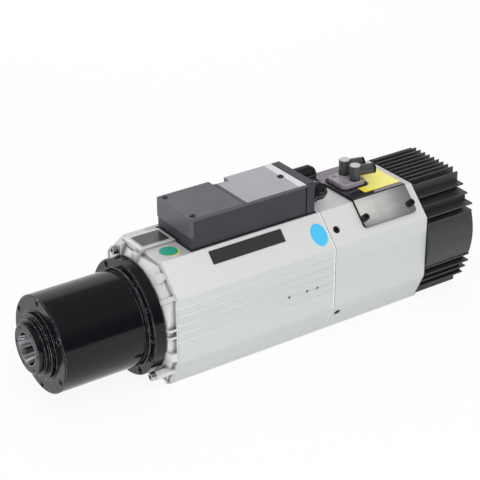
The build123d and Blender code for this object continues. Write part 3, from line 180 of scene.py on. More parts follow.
class Shader(Nodes):
    """A material with one Principled shader, and helpers for the textures on it."""

    def __init__(self, name, colour, metallic=0.0, roughness=0.5):
        self.material = bpy.data.materials.new(name)
        self.material.use_nodes = True
        super().__init__(self.material.node_tree)
        self.surface = self.tree.nodes["Principled BSDF"]
        self.set(Metallic=metallic, Roughness=roughness)
        self.paint(colour)
        self.colour = colour
        self.place = None
        self.height = None

    def set(self, **values):
        for name, value in values.items():
            self.surface.inputs[name.replace("_", " ")].default_value = value

    def paint(self, colour):
        self.fill(self.surface.inputs["Base Color"], colour)

    def coordinates(self, stretch=(1, 1, 1)):
        """Object coordinates, stretched so that a texture runs long along the small axes."""
        if self.place is None:
            self.place = self.node("ShaderNodeTexCoord").outputs["Object"]
        if stretch == (1, 1, 1):
            return self.place
        mapping = self.node("ShaderNodeMapping", Scale=stretch)
        self.link(self.place, mapping.inputs["Vector"])
        return mapping.outputs["Vector"]

    def axes(self):
        """The outputs X, Y and Z of the place on the part, in metres."""
        return self.split(self.coordinates())

    def facing(self):
        """The outputs X, Y and Z of the surface's normal."""
        return self.split(self.node("ShaderNodeNewGeometry").outputs["Normal"])

    def radius(self):
        """Distance from the spindle axis, in metres."""
        axes = self.axes()
        y_squared = self.product(axes["Y"], axes["Y"])
        z_squared = self.product(axes["Z"], axes["Z"])
        return self.math("SQRT", self.math("ADD", y_squared, z_squared))

    def between(self, source, low, high):
        """1 where the source lies between two values."""
        over = self.math("GREATER_THAN", source, low)
        return self.product(over, self.math("LESS_THAN", source, high))

    def noise(self, scale, detail=3.0, stretch=(1, 1, 1)):
        node = self.node("ShaderNodeTexNoise", Scale=scale, Detail=detail)
        self.link(self.coordinates(stretch), node.inputs["Vector"])
        return node.outputs["Fac"]

    def patches(self, scale, amount=0.6, stretch=(1, 1, 1)):
        """Slow patches, from 0 to the amount."""
        return self.ranged(self.noise(scale, 4.0, stretch), 0.0, amount)

    def rough(self, scale, low, high, stretch=(1, 1, 1)):
        """Roughness that drifts between two values."""
        drift = self.ranged(self.noise(scale, stretch=stretch), low, high)
        self.link(drift, self.surface.inputs["Roughness"])

    def tint(self, scale, other, amount):
        """Slow patches of another colour over the base colour."""
        self.paint(self.mix(self.patches(scale, amount), self.colour, other))

    def bump(self, source, distance, strength):
        """A relief on top of those that were added before it."""
        node = self.node("ShaderNodeBump", Strength=strength, Distance=distance)
        self.link(source, node.inputs["Height"])
        if self.height is not None:
            self.link(self.height, node.inputs["Normal"])
        self.height = node.outputs["Normal"]
        self.link(self.height, self.surface.inputs["Normal"])

    def grain(self, scale, distance, strength, stretch=(1, 1, 1)):
        self.bump(self.noise(scale, 2.0, stretch), distance, strength)

    def turning_marks(self, pitch, distance, strength):
        """Fine rings left by turning: ridges along X on walls, and circles on end faces."""
        travel = self.math("ADD", self.radius(), self.axes()["X"])
        wave = self.math("SINE", self.math("MULTIPLY", travel, 2 * pi / pitch))
        self.bump(wave, distance, strength)

    def edges(self, width, amount=1.0):
        """Rises to the amount along sharp edges, from how far a bevel would turn the surface."""
        bevel = self.node("ShaderNodeBevel", samples=6, Radius=width)
        geometry = self.node("ShaderNodeNewGeometry")
        dot = self.node("ShaderNodeVectorMath", operation="DOT_PRODUCT")
        self.link(bevel.outputs["Normal"], dot.inputs[0])
        self.link(geometry.outputs["Normal"], dot.inputs[1])
        return self.ranged(dot.outputs["Value"], amount, 0.0, start=0.82, end=0.97)

    def shade_in_crevices(self, distance, deep, open_air):
        """1 in corners and pockets that other surfaces close in on, from ambient occlusion; it masks
        painted shade.
        """
        node = self.node("ShaderNodeAmbientOcclusion", samples=8, Distance=distance)
        return self.ranged(node.outputs["AO"], 1.0, 0.0, start=deep, end=open_air)

    def lit_and_worn_edges(self, colour, width, amount, base=None, only=None):
        """Another colour along sharp edges, broken up by noise, and in one place alone if only is given;
        most materials use it for a painted highlight.
        """
        breakup = self.ranged(self.noise(scale=180.0, detail=4.0), 0.4, 1.0, start=0.4, end=0.62)
        factor = self.product(self.edges(width, amount), breakup)
        if only is not None:
            factor = self.product(factor, only)
        under = self.colour if base is None else base
        self.paint(self.mix(factor, under, colour))


def darker(colour, share):
    return tuple(channel * share for channel in colour)


# Materials, with colours as linear red, green and blue


def gloss_black():
    """Black oxide on turned and polished steel, with a painted highlight along its edges but not along the
    cover's joint.
    """
    joint_half = 0.0012
    steel_edge_highlight = (0.55, 0.55, 0.58)
    shader = Shader("gloss_black", (0.0042, 0.0042, 0.0058), roughness=0.12)
    shader.set(Specular_IOR_Level=0.32)
    shader.rough(scale=55.0, low=0.09, high=0.16)
    shader.turning_marks(pitch=0.0006, distance=0.00001, strength=0.08)
    shader.grain(scale=2600.0, distance=0.00002, strength=0.08)
    x = shader.axes()["X"]
    joint = shader.between(x, cover_seam_x - joint_half, cover_seam_x + joint_half)
    elsewhere = shader.math("SUBTRACT", 1.0, joint)
    # Painted highlight: a pale steel colour along the sharp edges, away from the cover's joint.
    shader.lit_and_worn_edges(steel_edge_highlight, width=0.0006, amount=1.0, only=elsewhere)
    return shader.material


def shaft_steel():
    """Black outside and ground inside the taper, with painted reflection streaks of dark and bright round
    the axis there, and a painted highlight along the edges at the mouth's rim.
    """
    bore_reflection_dark = (0.24, 0.24, 0.25)
    bore_reflection_bright = (0.98, 0.98, 1.0)
    shader = Shader("shaft_steel", (0.005, 0.005, 0.007), roughness=0.16)
    shader.set(Specular_IOR_Level=0.35)
    radius = shader.radius()
    axes = shader.axes()
    around = shader.node("ShaderNodeCombineXYZ")
    for axis in ("Y", "Z"):
        shader.link(shader.math("DIVIDE", axes[axis], radius), around.inputs[axis])
    # Painted reflection: noise round the axis gives dark and bright streaks inside the taper, then a
    # painted highlight on its edges.
    streaks = shader.node("ShaderNodeTexNoise", Scale=1.7, Detail=1.0)
    shader.link(around.outputs[0], streaks.inputs["Vector"])
    reflection_streaks = shader.ranged(streaks.outputs["Fac"], 0.0, 1.0, start=0.42, end=0.60)
    painted_reflection = shader.mix(reflection_streaks, bore_reflection_dark, bore_reflection_bright)
    painted_reflection = shader.mix(shader.edges(0.0005), painted_reflection, bore_reflection_bright)
    inside = shader.math("LESS_THAN", radius, taper_mouth_radius)
    shader.paint(shader.mix(inside, shader.colour, painted_reflection))
    shader.link(inside, shader.surface.inputs["Metallic"])
    marks = shader.noise(scale=900.0, detail=2.0, stretch=(1.0, 0.05, 0.05))
    shader.link(shader.ranged(marks, 0.05, 0.10), shader.surface.inputs["Roughness"])
    shader.turning_marks(pitch=0.0009, distance=0.00001, strength=0.12)
    return shader.material


def ground_steel(name, colour, roughness):
    shader = Shader(name, colour, metallic=1.0, roughness=0.25)
    shader.rough(700.0, *roughness, stretch=(1.0, 0.06, 0.06))
    shader.turning_marks(pitch=0.0007, distance=0.00001, strength=0.2)
    shader.tint(scale=60.0, other=darker(colour, 0.8), amount=0.5)
    return shader.material


def brushed_sides(shader, colour, upright):
    """Streaks along X on the upright sides."""
    streak = (0.615, 0.640, 0.640)
    lines = shader.noise(scale=60.0, stretch=(0.03, 1.0, 1.0))
    brushed = shader.ranged(lines, 0.7, 1.0, start=0.35, end=0.65)
    return shader.mix(shader.product(upright, brushed), colour, streak)


def shaded_top(shader, colour, x):
    """Painted shade: the flat top is painted darker, and darker still beside the terminal box, where the
    box shades it.
    """
    painted_dark_top = (0.60, 0.585, 0.61)
    shade_colour = (0.34, 0.33, 0.35)
    before_box = 0.012
    behind_box = 0.006
    shade = 0.5
    box_low, box_high = box_of("terminal_box")
    flat_top = shader.math("GREATER_THAN", shader.facing()["Z"], 0.95)
    colour = shader.mix(flat_top, colour, painted_dark_top)
    beside = shader.between(x, box_low.x - before_box, box_high.x + behind_box)
    return shader.mix(shader.product(flat_top, beside, shade), colour, shade_colour)


def painted_groove_highlights(shader, colour, axes, upright):
    """Painted highlight: the floors of the side grooves are painted near white, less so towards the rear.
    """
    groove_highlight_colour = (0.95, 0.96, 0.97)
    floor = side_half - groove_depth
    tolerance = 0.0001
    across = shader.math("ABSOLUTE", axes["Y"])
    groove = shader.between(across, floor - tolerance, floor + tolerance)
    fading = shader.ranged(axes["X"], 1.0, 0.35, start=0.19, end=0.28)
    return shader.mix(shader.product(groove, upright, fading), colour, groove_highlight_colour)


def body_seam(shader, colour, x):
    """A painted highlight along the profile's end edge, and the dark joint behind it."""
    painted_edge_highlight = (0.88, 0.88, 0.87)
    joint_dark = (0.13, 0.13, 0.14)
    joint_start = seam_x - 0.0002
    edge = shader.between(x, seam_x - 0.0016, joint_start)
    colour = shader.mix(edge, colour, painted_edge_highlight)
    joint = shader.between(x, joint_start, seam_x + 0.0005)
    return shader.mix(joint, colour, joint_dark)


def silver_body():
    """Fine bead-blasted and clear-anodised aluminium profile, with painted shade on its top and painted
    highlights in its side grooves and along its end edge.
    """
    slow_patch = (0.705, 0.710, 0.710)
    shader = Shader("silver_body", (0.735, 0.738, 0.735), metallic=0.12, roughness=0.42)
    shader.set(Specular_IOR_Level=0.45)
    shader.rough(30.0, 0.38, 0.47, stretch=(0.15, 1.0, 1.0))
    shader.grain(scale=5200.0, distance=0.00003, strength=0.22)
    shader.grain(scale=420.0, distance=0.00004, strength=0.06, stretch=(0.04, 1.0, 1.0))
    axes = shader.axes()
    sideways = shader.math("ABSOLUTE", shader.facing()["Y"])
    upright = shader.math("GREATER_THAN", sideways, 0.9)
    slow = shader.patches(14.0, stretch=(0.3, 1.0, 1.0))
    colour = shader.mix(slow, shader.colour, slow_patch)
    colour = brushed_sides(shader, colour, upright)
    colour = shaded_top(shader, colour, axes["X"])
    colour = painted_groove_highlights(shader, colour, axes, upright)
    shader.paint(body_seam(shader, colour, axes["X"]))
    return shader.material


def cast_aluminium():
    """Machined casting with a slightly pebbled skin, with painted shade in its pockets and a painted
    highlight along its edges.
    """
    dull = (0.66, 0.67, 0.67)
    pocket_shade = (0.12, 0.12, 0.11)
    painted_edge_highlight = (0.95, 0.95, 0.95)
    shader = Shader("cast_aluminium", (0.78, 0.785, 0.78), metallic=0.40, roughness=0.36)
    shader.rough(scale=70.0, low=0.28, high=0.44)
    shader.grain(scale=1500.0, distance=0.00006, strength=0.25)
    shader.grain(scale=260.0, distance=0.00012, strength=0.18)
    colour = shader.mix(shader.patches(90.0), shader.colour, dull)
    # Painted shade in the pockets, then a painted highlight along the edges.
    colour = shader.mix(shader.shade_in_crevices(0.006, deep=0.30, open_air=0.97), colour, pocket_shade)
    shader.paint(shader.mix(shader.edges(0.0006, 0.8), colour, painted_edge_highlight))
    return shader.material


def plate_painted_reflection(shader):
    """Painted reflection: bright at the cover plate's front, darker to the rear and in its lower front
    corner.
    """
    plate_reflection_dull = (0.60, 0.61, 0.58)
    plate_reflection_bright = (0.74, 0.76, 0.69)
    plate_reflection_rear = (0.33, 0.33, 0.34)
    plate_reflection_corner = (0.24, 0.24, 0.24)
    low, high = box_of("cover_plate")
    length = high.x - low.x
    fall = high.z - low.z
    axes = shader.axes()
    waves = shader.noise(scale=26.0, detail=2.0, stretch=(1.0, 0.35, 0.35))
    drift = shader.ranged(waves, 0.0, 1.0, start=0.38, end=0.62)
    front = shader.mix(drift, plate_reflection_dull, plate_reflection_bright)
    rear = shader.ranged(axes["X"], 0.0, 1.0, start=low.x + 0.1 * length, end=high.x)
    colour = shader.mix(rear, front, plate_reflection_rear)
    lower = shader.ranged(axes["Z"], 1.0, 0.0, start=low.z + 0.05 * fall, end=low.z + 0.50 * fall)
    forward = shader.ranged(axes["X"], 1.0, 0.2, start=low.x, end=low.x + 0.5 * length)
    return shader.mix(shader.product(lower, forward), colour, plate_reflection_corner)


def mirror_plate():
    """Polished sheet, slightly uneven, with a painted reflection on its face, its flat top painted dark for
    the dark room it mirrors, and black ends, fold and edges.
    """
    painted_dark_top = (0.19, 0.175, 0.20)
    rim_colour = (0.012, 0.012, 0.013)
    shader = Shader("mirror_plate", (0.52, 0.53, 0.50), metallic=0.9, roughness=0.14)
    shader.rough(40.0, 0.10, 0.20, stretch=(0.2, 1.0, 1.0))
    shader.grain(scale=38.0, distance=0.0006, strength=0.06)
    facing = shader.facing()
    # Painted reflection: the flat top is painted dark.
    flat_top = shader.math("GREATER_THAN", facing["Z"], 0.95)
    colour = shader.mix(flat_top, plate_painted_reflection(shader), painted_dark_top)
    end_face = shader.math("GREATER_THAN", shader.math("ABSOLUTE", facing["X"]), 0.7)
    fold = shader.between(facing["Z"], 0.72, 0.95)
    for mask in (end_face, fold, shader.edges(0.0009)):
        colour = shader.mix(mask, colour, rim_colour)
    shader.paint(colour)
    return shader.material


def black_cast():
    """Black-anodised fins that show faint lines along X and a painted highlight along their edges."""
    lighter_edge = (0.12, 0.115, 0.125)
    shader = Shader("black_cast", (0.035, 0.032, 0.036), roughness=0.40)
    shader.set(Specular_IOR_Level=0.5)
    shader.rough(160.0, 0.34, 0.50, stretch=(0.1, 1.0, 1.0))
    shader.grain(scale=900.0, distance=0.00005, strength=0.25, stretch=(0.03, 1.0, 1.0))
    shader.grain(scale=3200.0, distance=0.00003, strength=0.18)
    # Painted highlight along the fins' edges.
    shader.lit_and_worn_edges(lighter_edge, width=0.0004, amount=0.6)
    return shader.material


def moulded(name, colour, roughness=(0.38, 0.5), scale=1900.0):
    """Fine spark-eroded texture of a moulded plastic, with a painted highlight along its edges."""
    shader = Shader(name, colour, roughness=0.45)
    shader.rough(45.0, *roughness)
    shader.grain(scale, distance=0.00004, strength=0.3)
    mottled = shader.mix(shader.patches(25.0), colour, darker(colour, 0.86))
    # Painted highlight: a lighter copy of the colour along the edges.
    lighter_edge = tuple(min(1.0, channel * 2.4 + 0.02) for channel in colour)
    shader.lit_and_worn_edges(lighter_edge, width=0.0005, amount=0.8, base=mottled)
    return shader.material


def rubber():
    shader = Shader("rubber", (0.012, 0.012, 0.012), roughness=0.65)
    shader.rough(scale=80.0, low=0.55, high=0.75)
    shader.grain(scale=1400.0, distance=0.00005, strength=0.3)
    return shader.material


def black_screw():
    lighter_edge = (0.2, 0.2, 0.2)
    shader = Shader("black_screw", (0.014, 0.014, 0.016), metallic=0.35, roughness=0.32)
    shader.rough(scale=300.0, low=0.25, high=0.42)
    shader.grain(scale=1800.0, distance=0.00003, strength=0.2)
    shader.lit_and_worn_edges(lighter_edge, width=0.0003, amount=0.5)
    return shader.material


def zinc_screw():
    dull = (0.42, 0.42, 0.41)
    shader = Shader("zinc_screw", (0.56, 0.56, 0.55), metallic=1.0, roughness=0.3)
    shader.rough(scale=350.0, low=0.22, high=0.40)
    shader.grain(scale=1600.0, distance=0.00003, strength=0.2)
    shader.tint(scale=150.0, other=dull, amount=0.5)
    return shader.material


def plain_metal(name, colour, roughness):
    shader = Shader(name, colour, metallic=1.0, roughness=roughness)
    shader.rough(scale=200.0, low=roughness - 0.06, high=roughness + 0.08)
    shader.tint(scale=70.0, other=darker(colour, 0.8), amount=0.5)
    return shader.material


def printed_film(name, colour, roughness=0.3, metallic=0.0, glare=None):
    """Printed label stock under a thin clear film, with paler patches where glare is given."""
    shader = Shader(name, colour, metallic, roughness)
    shader.set(Coat_Weight=0.4, Coat_Roughness=0.12)
    shader.rough(scale=35.0, low=roughness - 0.05, high=roughness + 0.07)
    shader.tint(scale=30.0, other=glare or darker(colour, 0.93), amount=0.6)
    shader.grain(scale=150.0, distance=0.00005, strength=0.08)
    return shader.material


slot_materials = {
    "gloss_black_steel": gloss_black(),
    "ground_steel": ground_steel("ground_steel", (0.6, 0.6, 0.61), roughness=(0.2, 0.34)),
    "bright_steel": ground_steel("bright_steel", (0.68, 0.68, 0.69), roughness=(0.08, 0.16)),
    "black_screws": black_screw(),
    "zinc_screws": zinc_screw(),
    "cast_aluminium": cast_aluminium(),
    "silver_body": silver_body(),
    "mirror_plate": mirror_plate(),
    "black_cast": black_cast(),
    "box_plastic": moulded("box_plastic", (0.028, 0.0255, 0.036)),
    "lid_plastic": moulded("lid_plastic", (0.084, 0.079, 0.095), roughness=(0.3, 0.42)),
    "black_plastic": moulded("black_plastic", (0.008, 0.008, 0.009), roughness=(0.08, 0.14), scale=1100.0),
    "elbow_plastic": moulded("elbow_plastic", (0.064, 0.062, 0.066), roughness=(0.14, 0.24), scale=1500.0),
    "pale_plastic": moulded("pale_plastic", (0.52, 0.53, 0.5), roughness=(0.25, 0.35), scale=1500.0),
    "rubber": rubber(),
    "brass": plain_metal("brass", (0.62, 0.44, 0.19), roughness=0.28),
    "copper": plain_metal("copper", (0.6, 0.24, 0.1), roughness=0.3),
    "laminations": plain_metal("laminations", (0.22, 0.22, 0.24), roughness=0.45),
    "spring_steel": plain_metal("spring_steel", (0.3, 0.3, 0.31), roughness=0.35),
}
node_materials = {
    "spindle_shaft": shaft_steel(),
    "labyrinth_collar": slot_materials["gloss_black_steel"],
    "manifold_block": moulded("manifold_grey", (0.35, 0.32, 0.365), roughness=(0.22, 0.34)),
    "elbow_studs": slot_materials["black_screws"],
    "rear_housing_screws": slot_materials["black_screws"],
}


def dress_nodes():
    """Each CAD node takes the finish of its material slot in the record, or its own."""
    for entry in record["subparts"]:
        name = entry["node"]
        material = node_materials.get(name, slot_materials[entry["material_slot"]])
        for slot in nodes[name].material_slots:
            slot.material = material
        if not nodes[name].material_slots:
            nodes[name].data.materials.append(material)


# Pieces that lie on the casing


def shown(name, data):
    """A new object in the scene."""
    made = bpy.data.objects.new(name, data)
    bpy.context.scene.collection.objects.link(made)
    return made


def mesh_data(name, mesh):
    """Turns a mesh in the making into data, and lets go of it."""
    data = bpy.data.meshes.new(name)
    mesh.to_mesh(data)
    mesh.free()
    return data


def piece(name, mesh, material):
    """A piece that rides on the housing, with its own material."""
    mesh.normal_update()
    made = shown(name, mesh_data(name, mesh))
    made.data.materials.append(material)
    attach(made, housing)


def append(target, source):
    """Adds one mesh to another."""
    data = mesh_data("part", source)
    target.from_mesh(data)
    bpy.data.meshes.remove(data)


def sheet_mesh(outline, thickness, place, holes=()):
    """A flat sheet with an outline and holes in its plane, standing on the place's XY plane."""
    mesh = bmesh.new()
    edges = []
    for loop in (outline, *holes):
        corners = [mesh.verts.new((u, v, 0)) for u, v in loop]
        edges += [mesh.edges.new((a, b)) for a, b in zip(corners, corners[1:] + corners[:1])]
    bmesh.ops.triangle_fill(mesh, edges=edges, use_beauty=True, normal=(0, 0, 1))
    flat = mesh.faces[:]
    bmesh.ops.recalc_face_normals(mesh, faces=flat)
    if flat and flat[0].normal.z < 0:
        bmesh.ops.reverse_faces(mesh, faces=flat)
    grown = bmesh.ops.extrude_face_region(mesh, geom=mesh.faces[:])
    top = [item for item in grown["geom"] if isinstance(item, bmesh.types.BMVert)]
    bmesh.ops.translate(mesh, verts=top, vec=(0, 0, thickness))
    bmesh.ops.recalc_face_normals(mesh, faces=mesh.faces[:])
    bmesh.ops.transform(mesh, matrix=place, verts=mesh.verts[:])
    return mesh


class Bounds(NamedTuple):
    """A rectangle in its own plane: front and rear along X, near and far across it."""

    front: float
    rear: float
    near: float
    far: float

    def inset(self, margin):
        """The rectangle brought in by a margin on every side."""
        return Bounds(self.front + margin, self.rear - margin, self.near + margin, self.far - margin)


def rounded_rectangle(bounds, radius, steps=6):
    """Outline of a rectangle with round corners."""
    front, rear, near, far = bounds.inset(radius)
    points = []
    for quarter, (u, v) in enumerate(((rear, far), (front, far), (front, near), (rear, near))):
        for i in range(steps + 1):
            turn = radians(90 * (quarter + i / steps))
            points.append((u + radius * cos(turn), v + radius * sin(turn)))
    return points


def ellipse(u, v, half_u, half_v, steps=48):
    turns = [2 * pi * i / steps for i in range(steps)]
    return [(u + half_u * cos(turn), v + half_v * sin(turn)) for turn in turns]


def top_plane(z):
    """u runs along X and v along Y, just above height z."""
    return Matrix.Translation((0, 0, z + film_lift))


def chamfer_plane():
    """u runs along X, and v runs up the near upper chamfer, with 0 at its top edge."""
    run = side_half - top_half
    rise = top_z - shoulder_z
    long = sqrt(run * run + rise * rise)
    along = Vector((1, 0, 0))
    up = Vector((0, run / long, rise / long))
    out = Vector((0, -rise / long, run / long))
    turn = Matrix((along, up, out)).transposed().to_4x4()
    top_edge = Vector((0, -top_half, top_z))
    return Matrix.Translation(top_edge + out * film_lift) @ turn


def ruled_lines(bounds, place):
    """Five thin raised lines, spread over a rectangle from near to far."""
    rows = 5
    half_width = 0.00010
    corner_radius = 0.00008
    height = 0.0005
    lines = bmesh.new()
    for row in range(rows):
        y = bounds.near + row * (bounds.far - bounds.near) / (rows - 1)
        line = bounds._replace(near=y - half_width, far=y + half_width)
        append(lines, sheet_mesh(rounded_rectangle(line, corner_radius, steps=2), height, place))
    return lines


def name_plate():
    """Etched plate on the pad in front of the box: a bare table with ruled lines."""
    bounds = Bounds(front=0.1228, rear=0.1540, near=-0.0036, far=0.0194)
    rim_width = 0.0009
    margin = 0.0030
    rim_height = 0.0004
    field_height = 0.00046
    place = top_plane(box_of("front_end_shield")[1].z)
    dark = printed_film("name_plate_dark", (0.035, 0.035, 0.04), metallic=0.3)
    silver = printed_film("name_plate_silver", (0.62, 0.62, 0.63), roughness=0.28, metallic=0.6)
    ruled = printed_film("name_plate_rules", (0.26, 0.26, 0.27), metallic=0.5)
    outer = rounded_rectangle(bounds, radius=0.0008)
    piece("name_plate_rim", sheet_mesh(outer, rim_height, place), silver)
    inner = rounded_rectangle(bounds.inset(rim_width), radius=0.0005)
    piece("name_plate_field", sheet_mesh(inner, field_height, place), dark)
    piece("name_plate_lines", ruled_lines(bounds.inset(margin), place), ruled)


def round_sticker():
    """Green disc over a yellow one that stands out a little behind it, both bare."""
    x = 0.1415
    y = -0.0194
    radius = 0.0090
    offset = 0.0011
    place = top_plane(top_z)
    yellow = printed_film("sticker_yellow", (0.85, 0.70, 0.02), roughness=0.35)
    green = printed_film("sticker_green", (0.012, 0.36, 0.24))
    lower = ellipse(x + offset, y - offset, radius, radius)
    piece("round_sticker_edge", sheet_mesh(lower, film_thickness, place), yellow)
    upper = ellipse(x, y, radius, radius)
    piece("round_sticker", sheet_mesh(upper, film_thickness * 2, place), green)


def sign_plate():
    """Bare dark sign on the near upper chamfer."""
    bounds = Bounds(front=0.1738, rear=0.2563, near=-0.0171, far=-0.0037)
    thickness = 0.0006
    dark = printed_film("sign_dark", (0.028, 0.024, 0.025))
    outline = rounded_rectangle(bounds, radius=0.0004, steps=3)
    piece("sign_plate", sheet_mesh(outline, thickness, chamfer_plane()), dark)


def oval_sticker():
    """Bare blue oval at the rear of the same chamfer."""
    blue = printed_film("sticker_blue", (0.07, 0.56, 0.93))
    outline = ellipse(0.2940, -0.0210, half_u=0.0088, half_v=0.0118)
    piece("oval_sticker", sheet_mesh(outline, film_thickness, chamfer_plane()), blue)


def box_label():
    """Silver film on the rear lid, cut round its screw, with a white strip along its rear edge."""
    edge = 0.0008
    strip = 0.0085
    notch_x = 0.2354
    notch_depth = 0.0088
    screw_radius = 0.00275
    clear_radius = 0.0034
    low, high = box_of("rear_lid")
    screws_end = box_of("lid_screws")[1].x
    place = top_plane(high.z)
    silver = printed_film("label_silver", (0.36, 0.35, 0.38), roughness=0.28, metallic=0.5)
    white = printed_film("label_white", (0.66, 0.64, 0.68))
    front, rear, near, far = Bounds(low.x, high.x, low.y, high.y).inset(edge)
    middle = rear - strip
    notch_y = high.y - notch_depth
    hole_y = (low.y + high.y) / 2
    hole = ellipse(screws_end - screw_radius, hole_y, clear_radius, clear_radius, steps=32)
    film = [(front, near), (middle, near), (middle, far)]
    film += [(notch_x, far), (notch_x, notch_y), (front, notch_y)]
    piece("box_label", sheet_mesh(film, film_thickness, place, [hole]), silver)
    band = [(middle, near), (rear, near), (rear, far), (middle, far)]
    piece("box_label_strip", sheet_mesh(band, film_thickness, place), white)


def cover_label():
    """Bare yellow film on the cover plate's top, cut round the manifold."""
    film = Bounds(front=0.3655, rear=0.4105, near=-0.0295, far=0.0195)
    gap = 0.0034
    round_off = 0.006
    step = 15
    low, high = box_of("manifold_block")
    place = top_plane(box_of("cover_plate")[1].z)
    yellow = printed_film("label_yellow", (0.94, 0.82, 0.03), glare=(0.94, 0.87, 0.36))
    cut_x = high.x + gap
    cut_y = low.y - gap
    turns = [radians(degrees) for degrees in range(90, -1, -step)]
    corner = [
        (cut_x - round_off * (1 - sin(turn)), cut_y + round_off * (1 - cos(turn)))
        for turn in turns
    ]
    front_end = [(cut_x, film.far), *corner, (film.front, cut_y)]
    outline = [(film.front, film.near), (film.rear, film.near), (film.rear, film.far), *front_end]
    piece("cover_label", sheet_mesh(outline, film_thickness, place), yellow)


def set_screw_mesh():
    """The end of a set screw: a flat ring round a hexagon socket, facing up."""
    radius = 0.0025
    hex_radius = 0.0015
    socket_depth = 0.001
    mesh = bmesh.new()
    bmesh.ops.create_circle(mesh, cap_ends=False, radius=radius, segments=28)
    inner = bmesh.ops.create_circle(mesh, cap_ends=False, radius=hex_radius, segments=6)["verts"]
    bmesh.ops.triangle_fill(mesh, edges=mesh.edges[:], use_beauty=True, normal=(0, 0, 1))
    rim = [edge for edge in mesh.edges if all(corner in inner for corner in edge.verts)]
    walls = bmesh.ops.extrude_edge_only(mesh, edges=rim)
    bottom = [item for item in walls["geom"] if isinstance(item, bmesh.types.BMVert)]
    bmesh.ops.translate(mesh, verts=bottom, vec=(0, 0, -socket_depth))
    bmesh.ops.contextual_create(mesh, geom=bottom)
    return mesh


def set_screws():
    """Three small set screws in the near side of the body, a little below its surface."""
    places = (0.2502, 0.2718, 0.2838)
    height = 0.0016
    sunk = 0.0004
    turn = Matrix.Rotation(radians(90), 4, "X")
    for number, x in enumerate(places, start=1):
        mesh = set_screw_mesh()
        place = Matrix.Translation((x, sunk - side_half, height)) @ turn
        bmesh.ops.transform(mesh, matrix=place, verts=mesh.verts[:])
        bmesh.ops.recalc_face_normals(mesh, faces=mesh.faces[:])
        piece(f"set_screw_{number}", mesh, slot_materials["zinc_screws"])


def squeezed_spring(name, body):
    """A copy of a spring in spring steel, riding on its body, in place of the original, which is hidden."""
    spring = shown(name + "_stack", nodes[name].data.copy())
    spring.matrix_world = nodes[name].matrix_world.copy()
    spring.data.materials.clear()
    spring.data.materials.append(slot_materials["spring_steel"])
    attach(spring, body)
    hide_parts(name)
    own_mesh(spring)


def squeezed_springs():
    """The springs that the record says shorten with a joint's stroke."""
    behaviour = record["behaviour"]
    for joint in behaviour["joints"]:
        for entry in joint.get("deforming_nodes", []):
            name = entry["node"]
            body = next(body for body, held in behaviour["bodies"].items() if name in held)
            squeezed_spring(name, body)


# Studio


def white_floor():
    """Pale floor that is white to the camera and in gloss, with a light shadow under the part."""
    size = 6.0
    drop = 0.0002
    shown_white = 0.90
    mesh = bmesh.new()
    bmesh.ops.create_grid(mesh, x_segments=1, y_segments=1, size=size)
    floor = shown("floor", mesh_data("floor", mesh))
    floor.location.z = cad_low.z - drop
    shader = Shader("floor", (0.93, 0.93, 0.94), roughness=0.9)
    shader.set(Specular_IOR_Level=0.1)
    white = shader.node("ShaderNodeEmission")
    rays = shader.node("ShaderNodeLightPath").outputs
    seen = shader.math("MAXIMUM", rays["Is Camera Ray"], rays["Is Glossy Ray"])
    seen = shader.math("MAXIMUM", seen, rays["Is Transmission Ray"])
    both = shader.cover(shader.product(seen, shown_white), shader.surface.outputs[0], white.outputs[0])
    shader.link(both, shader.tree.nodes["Material Output"].inputs["Surface"])
    floor.data.materials.append(shader.material)


def mirrored_room(sky):
    """What gloss mirrors: a white back wall under a grey ceiling, and a dark room in front."""
    white = (1.0, 1.0, 1.0)
    room_dark = (0.10, 0.10, 0.11)
    ceiling_grey = (0.34, 0.34, 0.35)
    way = sky.split(sky.node("ShaderNodeTexCoord").outputs["Generated"])
    ceiling = sky.ranged(way["Z"], 0.0, 1.0, start=0.35, end=0.70, smoothing="SMOOTHSTEP")
    below_ceiling = sky.ranged(way["Z"], 0.0, 1.0, start=0.76, end=0.60, smoothing="SMOOTHSTEP")
    behind = sky.ranged(way["Y"], 0.0, 1.0, start=0.40, end=0.62, smoothing="SMOOTHSTEP")
    room = sky.mix(ceiling, room_dark, ceiling_grey)
    return sky.mix(sky.product(behind, below_ceiling), room, white)


def soft_world():
    """Even white light, with a room that only gloss shows and a white that only the camera sees."""
    white = (1.0, 1.0, 1.0, 1.0)
    world = bpy.data.worlds.new("studio")
    bpy.context.scene.world = world
    world.use_nodes = True
    sky = Nodes(world.node_tree)
    ambient = sky.tree.nodes["Background"]
    ambient.inputs["Color"].default_value = white
    ambient.inputs["Strength"].default_value = 0.55
    mirrored = sky.node("ShaderNodeBackground")
    sky.link(mirrored_room(sky), mirrored.inputs["Color"])
    seen = sky.node("ShaderNodeBackground", Color=white)
    rays = sky.node("ShaderNodeLightPath").outputs
    gloss = sky.cover(rays["Is Glossy Ray"], ambient.outputs[0], mirrored.outputs[0])
    view = sky.cover(rays["Is Camera Ray"], gloss, seen.outputs[0])
    sky.link(view, sky.tree.nodes["World Output"].inputs["Surface"])


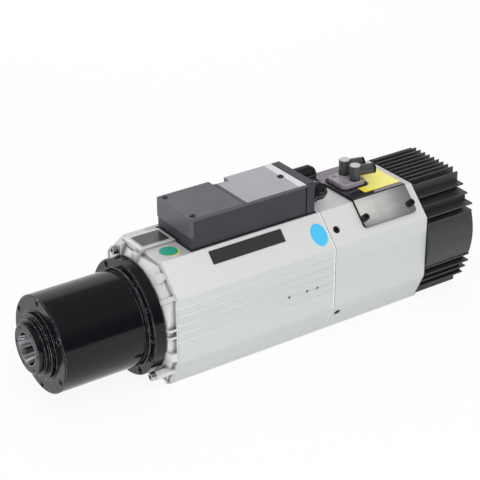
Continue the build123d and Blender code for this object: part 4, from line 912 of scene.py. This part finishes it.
def softbox(name, size, power, place, target=(0.22, 0.0, 0.0), mirrored=False):
    """A rectangular lamp that faces its target, by default the middle of the part."""
    data = bpy.data.lights.new(name, "AREA")
    data.shape = "RECTANGLE"
    data.size, data.size_y = size
    data.energy = power
    lamp = shown(name, data)
    lamp.location = place
    lamp.rotation_euler = (Vector(target) - Vector(place)).to_track_quat("-Z", "Y").to_euler()
    lamp.visible_glossy = mirrored


def studio_lights():
    """Four large lamps, and a small card that the cover plate's front mirrors to the camera."""
    softbox("overhead", size=(1.4, 0.7), power=2.0, place=(0.15, 0.05, 1.3))
    softbox("key", size=(1.2, 0.8), power=13.0, place=(-0.1, -1.2, 1.3))
    softbox("front", size=(0.7, 0.7), power=9.0, place=(-1.4, -0.1, 0.35))
    softbox("back", size=(0.9, 0.9), power=5.0, place=(0.9, 1.3, 0.5))
    plate_front = Vector((0.364, -0.0435, 0.058))
    mirror_way = Vector((0.5778, -0.4623, 0.6726))
    card_reach = 0.6
    card = plate_front + mirror_way * card_reach
    softbox("plate card", size=(0.055, 0.055), power=0.0095, place=card, target=plate_front, mirrored=True)


def photo_camera():
    """The photograph's camera, placed by its angles and by how far it stands from the origin."""
    azimuth = radians(camera_azimuth)
    elevation = radians(camera_elevation)
    back = Vector((sin(azimuth) * cos(elevation), -cos(azimuth) * cos(elevation), sin(elevation)))
    right = Vector((cos(azimuth), sin(azimuth), 0))
    up = back.cross(right)
    data = bpy.data.cameras.new("camera")
    data.lens = camera_lens_mm
    data.sensor_width = camera_sensor_mm
    data.clip_end = camera_reach
    camera = shown("camera", data)
    turn = Matrix((right, up, back)).transposed().to_4x4()
    roll = Matrix.Rotation(radians(camera_roll), 4, "Z")
    place = right * camera_right + up * camera_up + back * camera_distance
    camera.matrix_world = Matrix.Translation(place) @ turn @ roll
    bpy.context.scene.camera = camera


dress_nodes()
name_plate()
round_sticker()
sign_plate()
oval_sticker()
box_label()
cover_label()
set_screws()
squeezed_springs()
white_floor()
soft_world()
studio_lights()
photo_camera()
bpy.context.scene.view_settings.view_transform = "Standard"
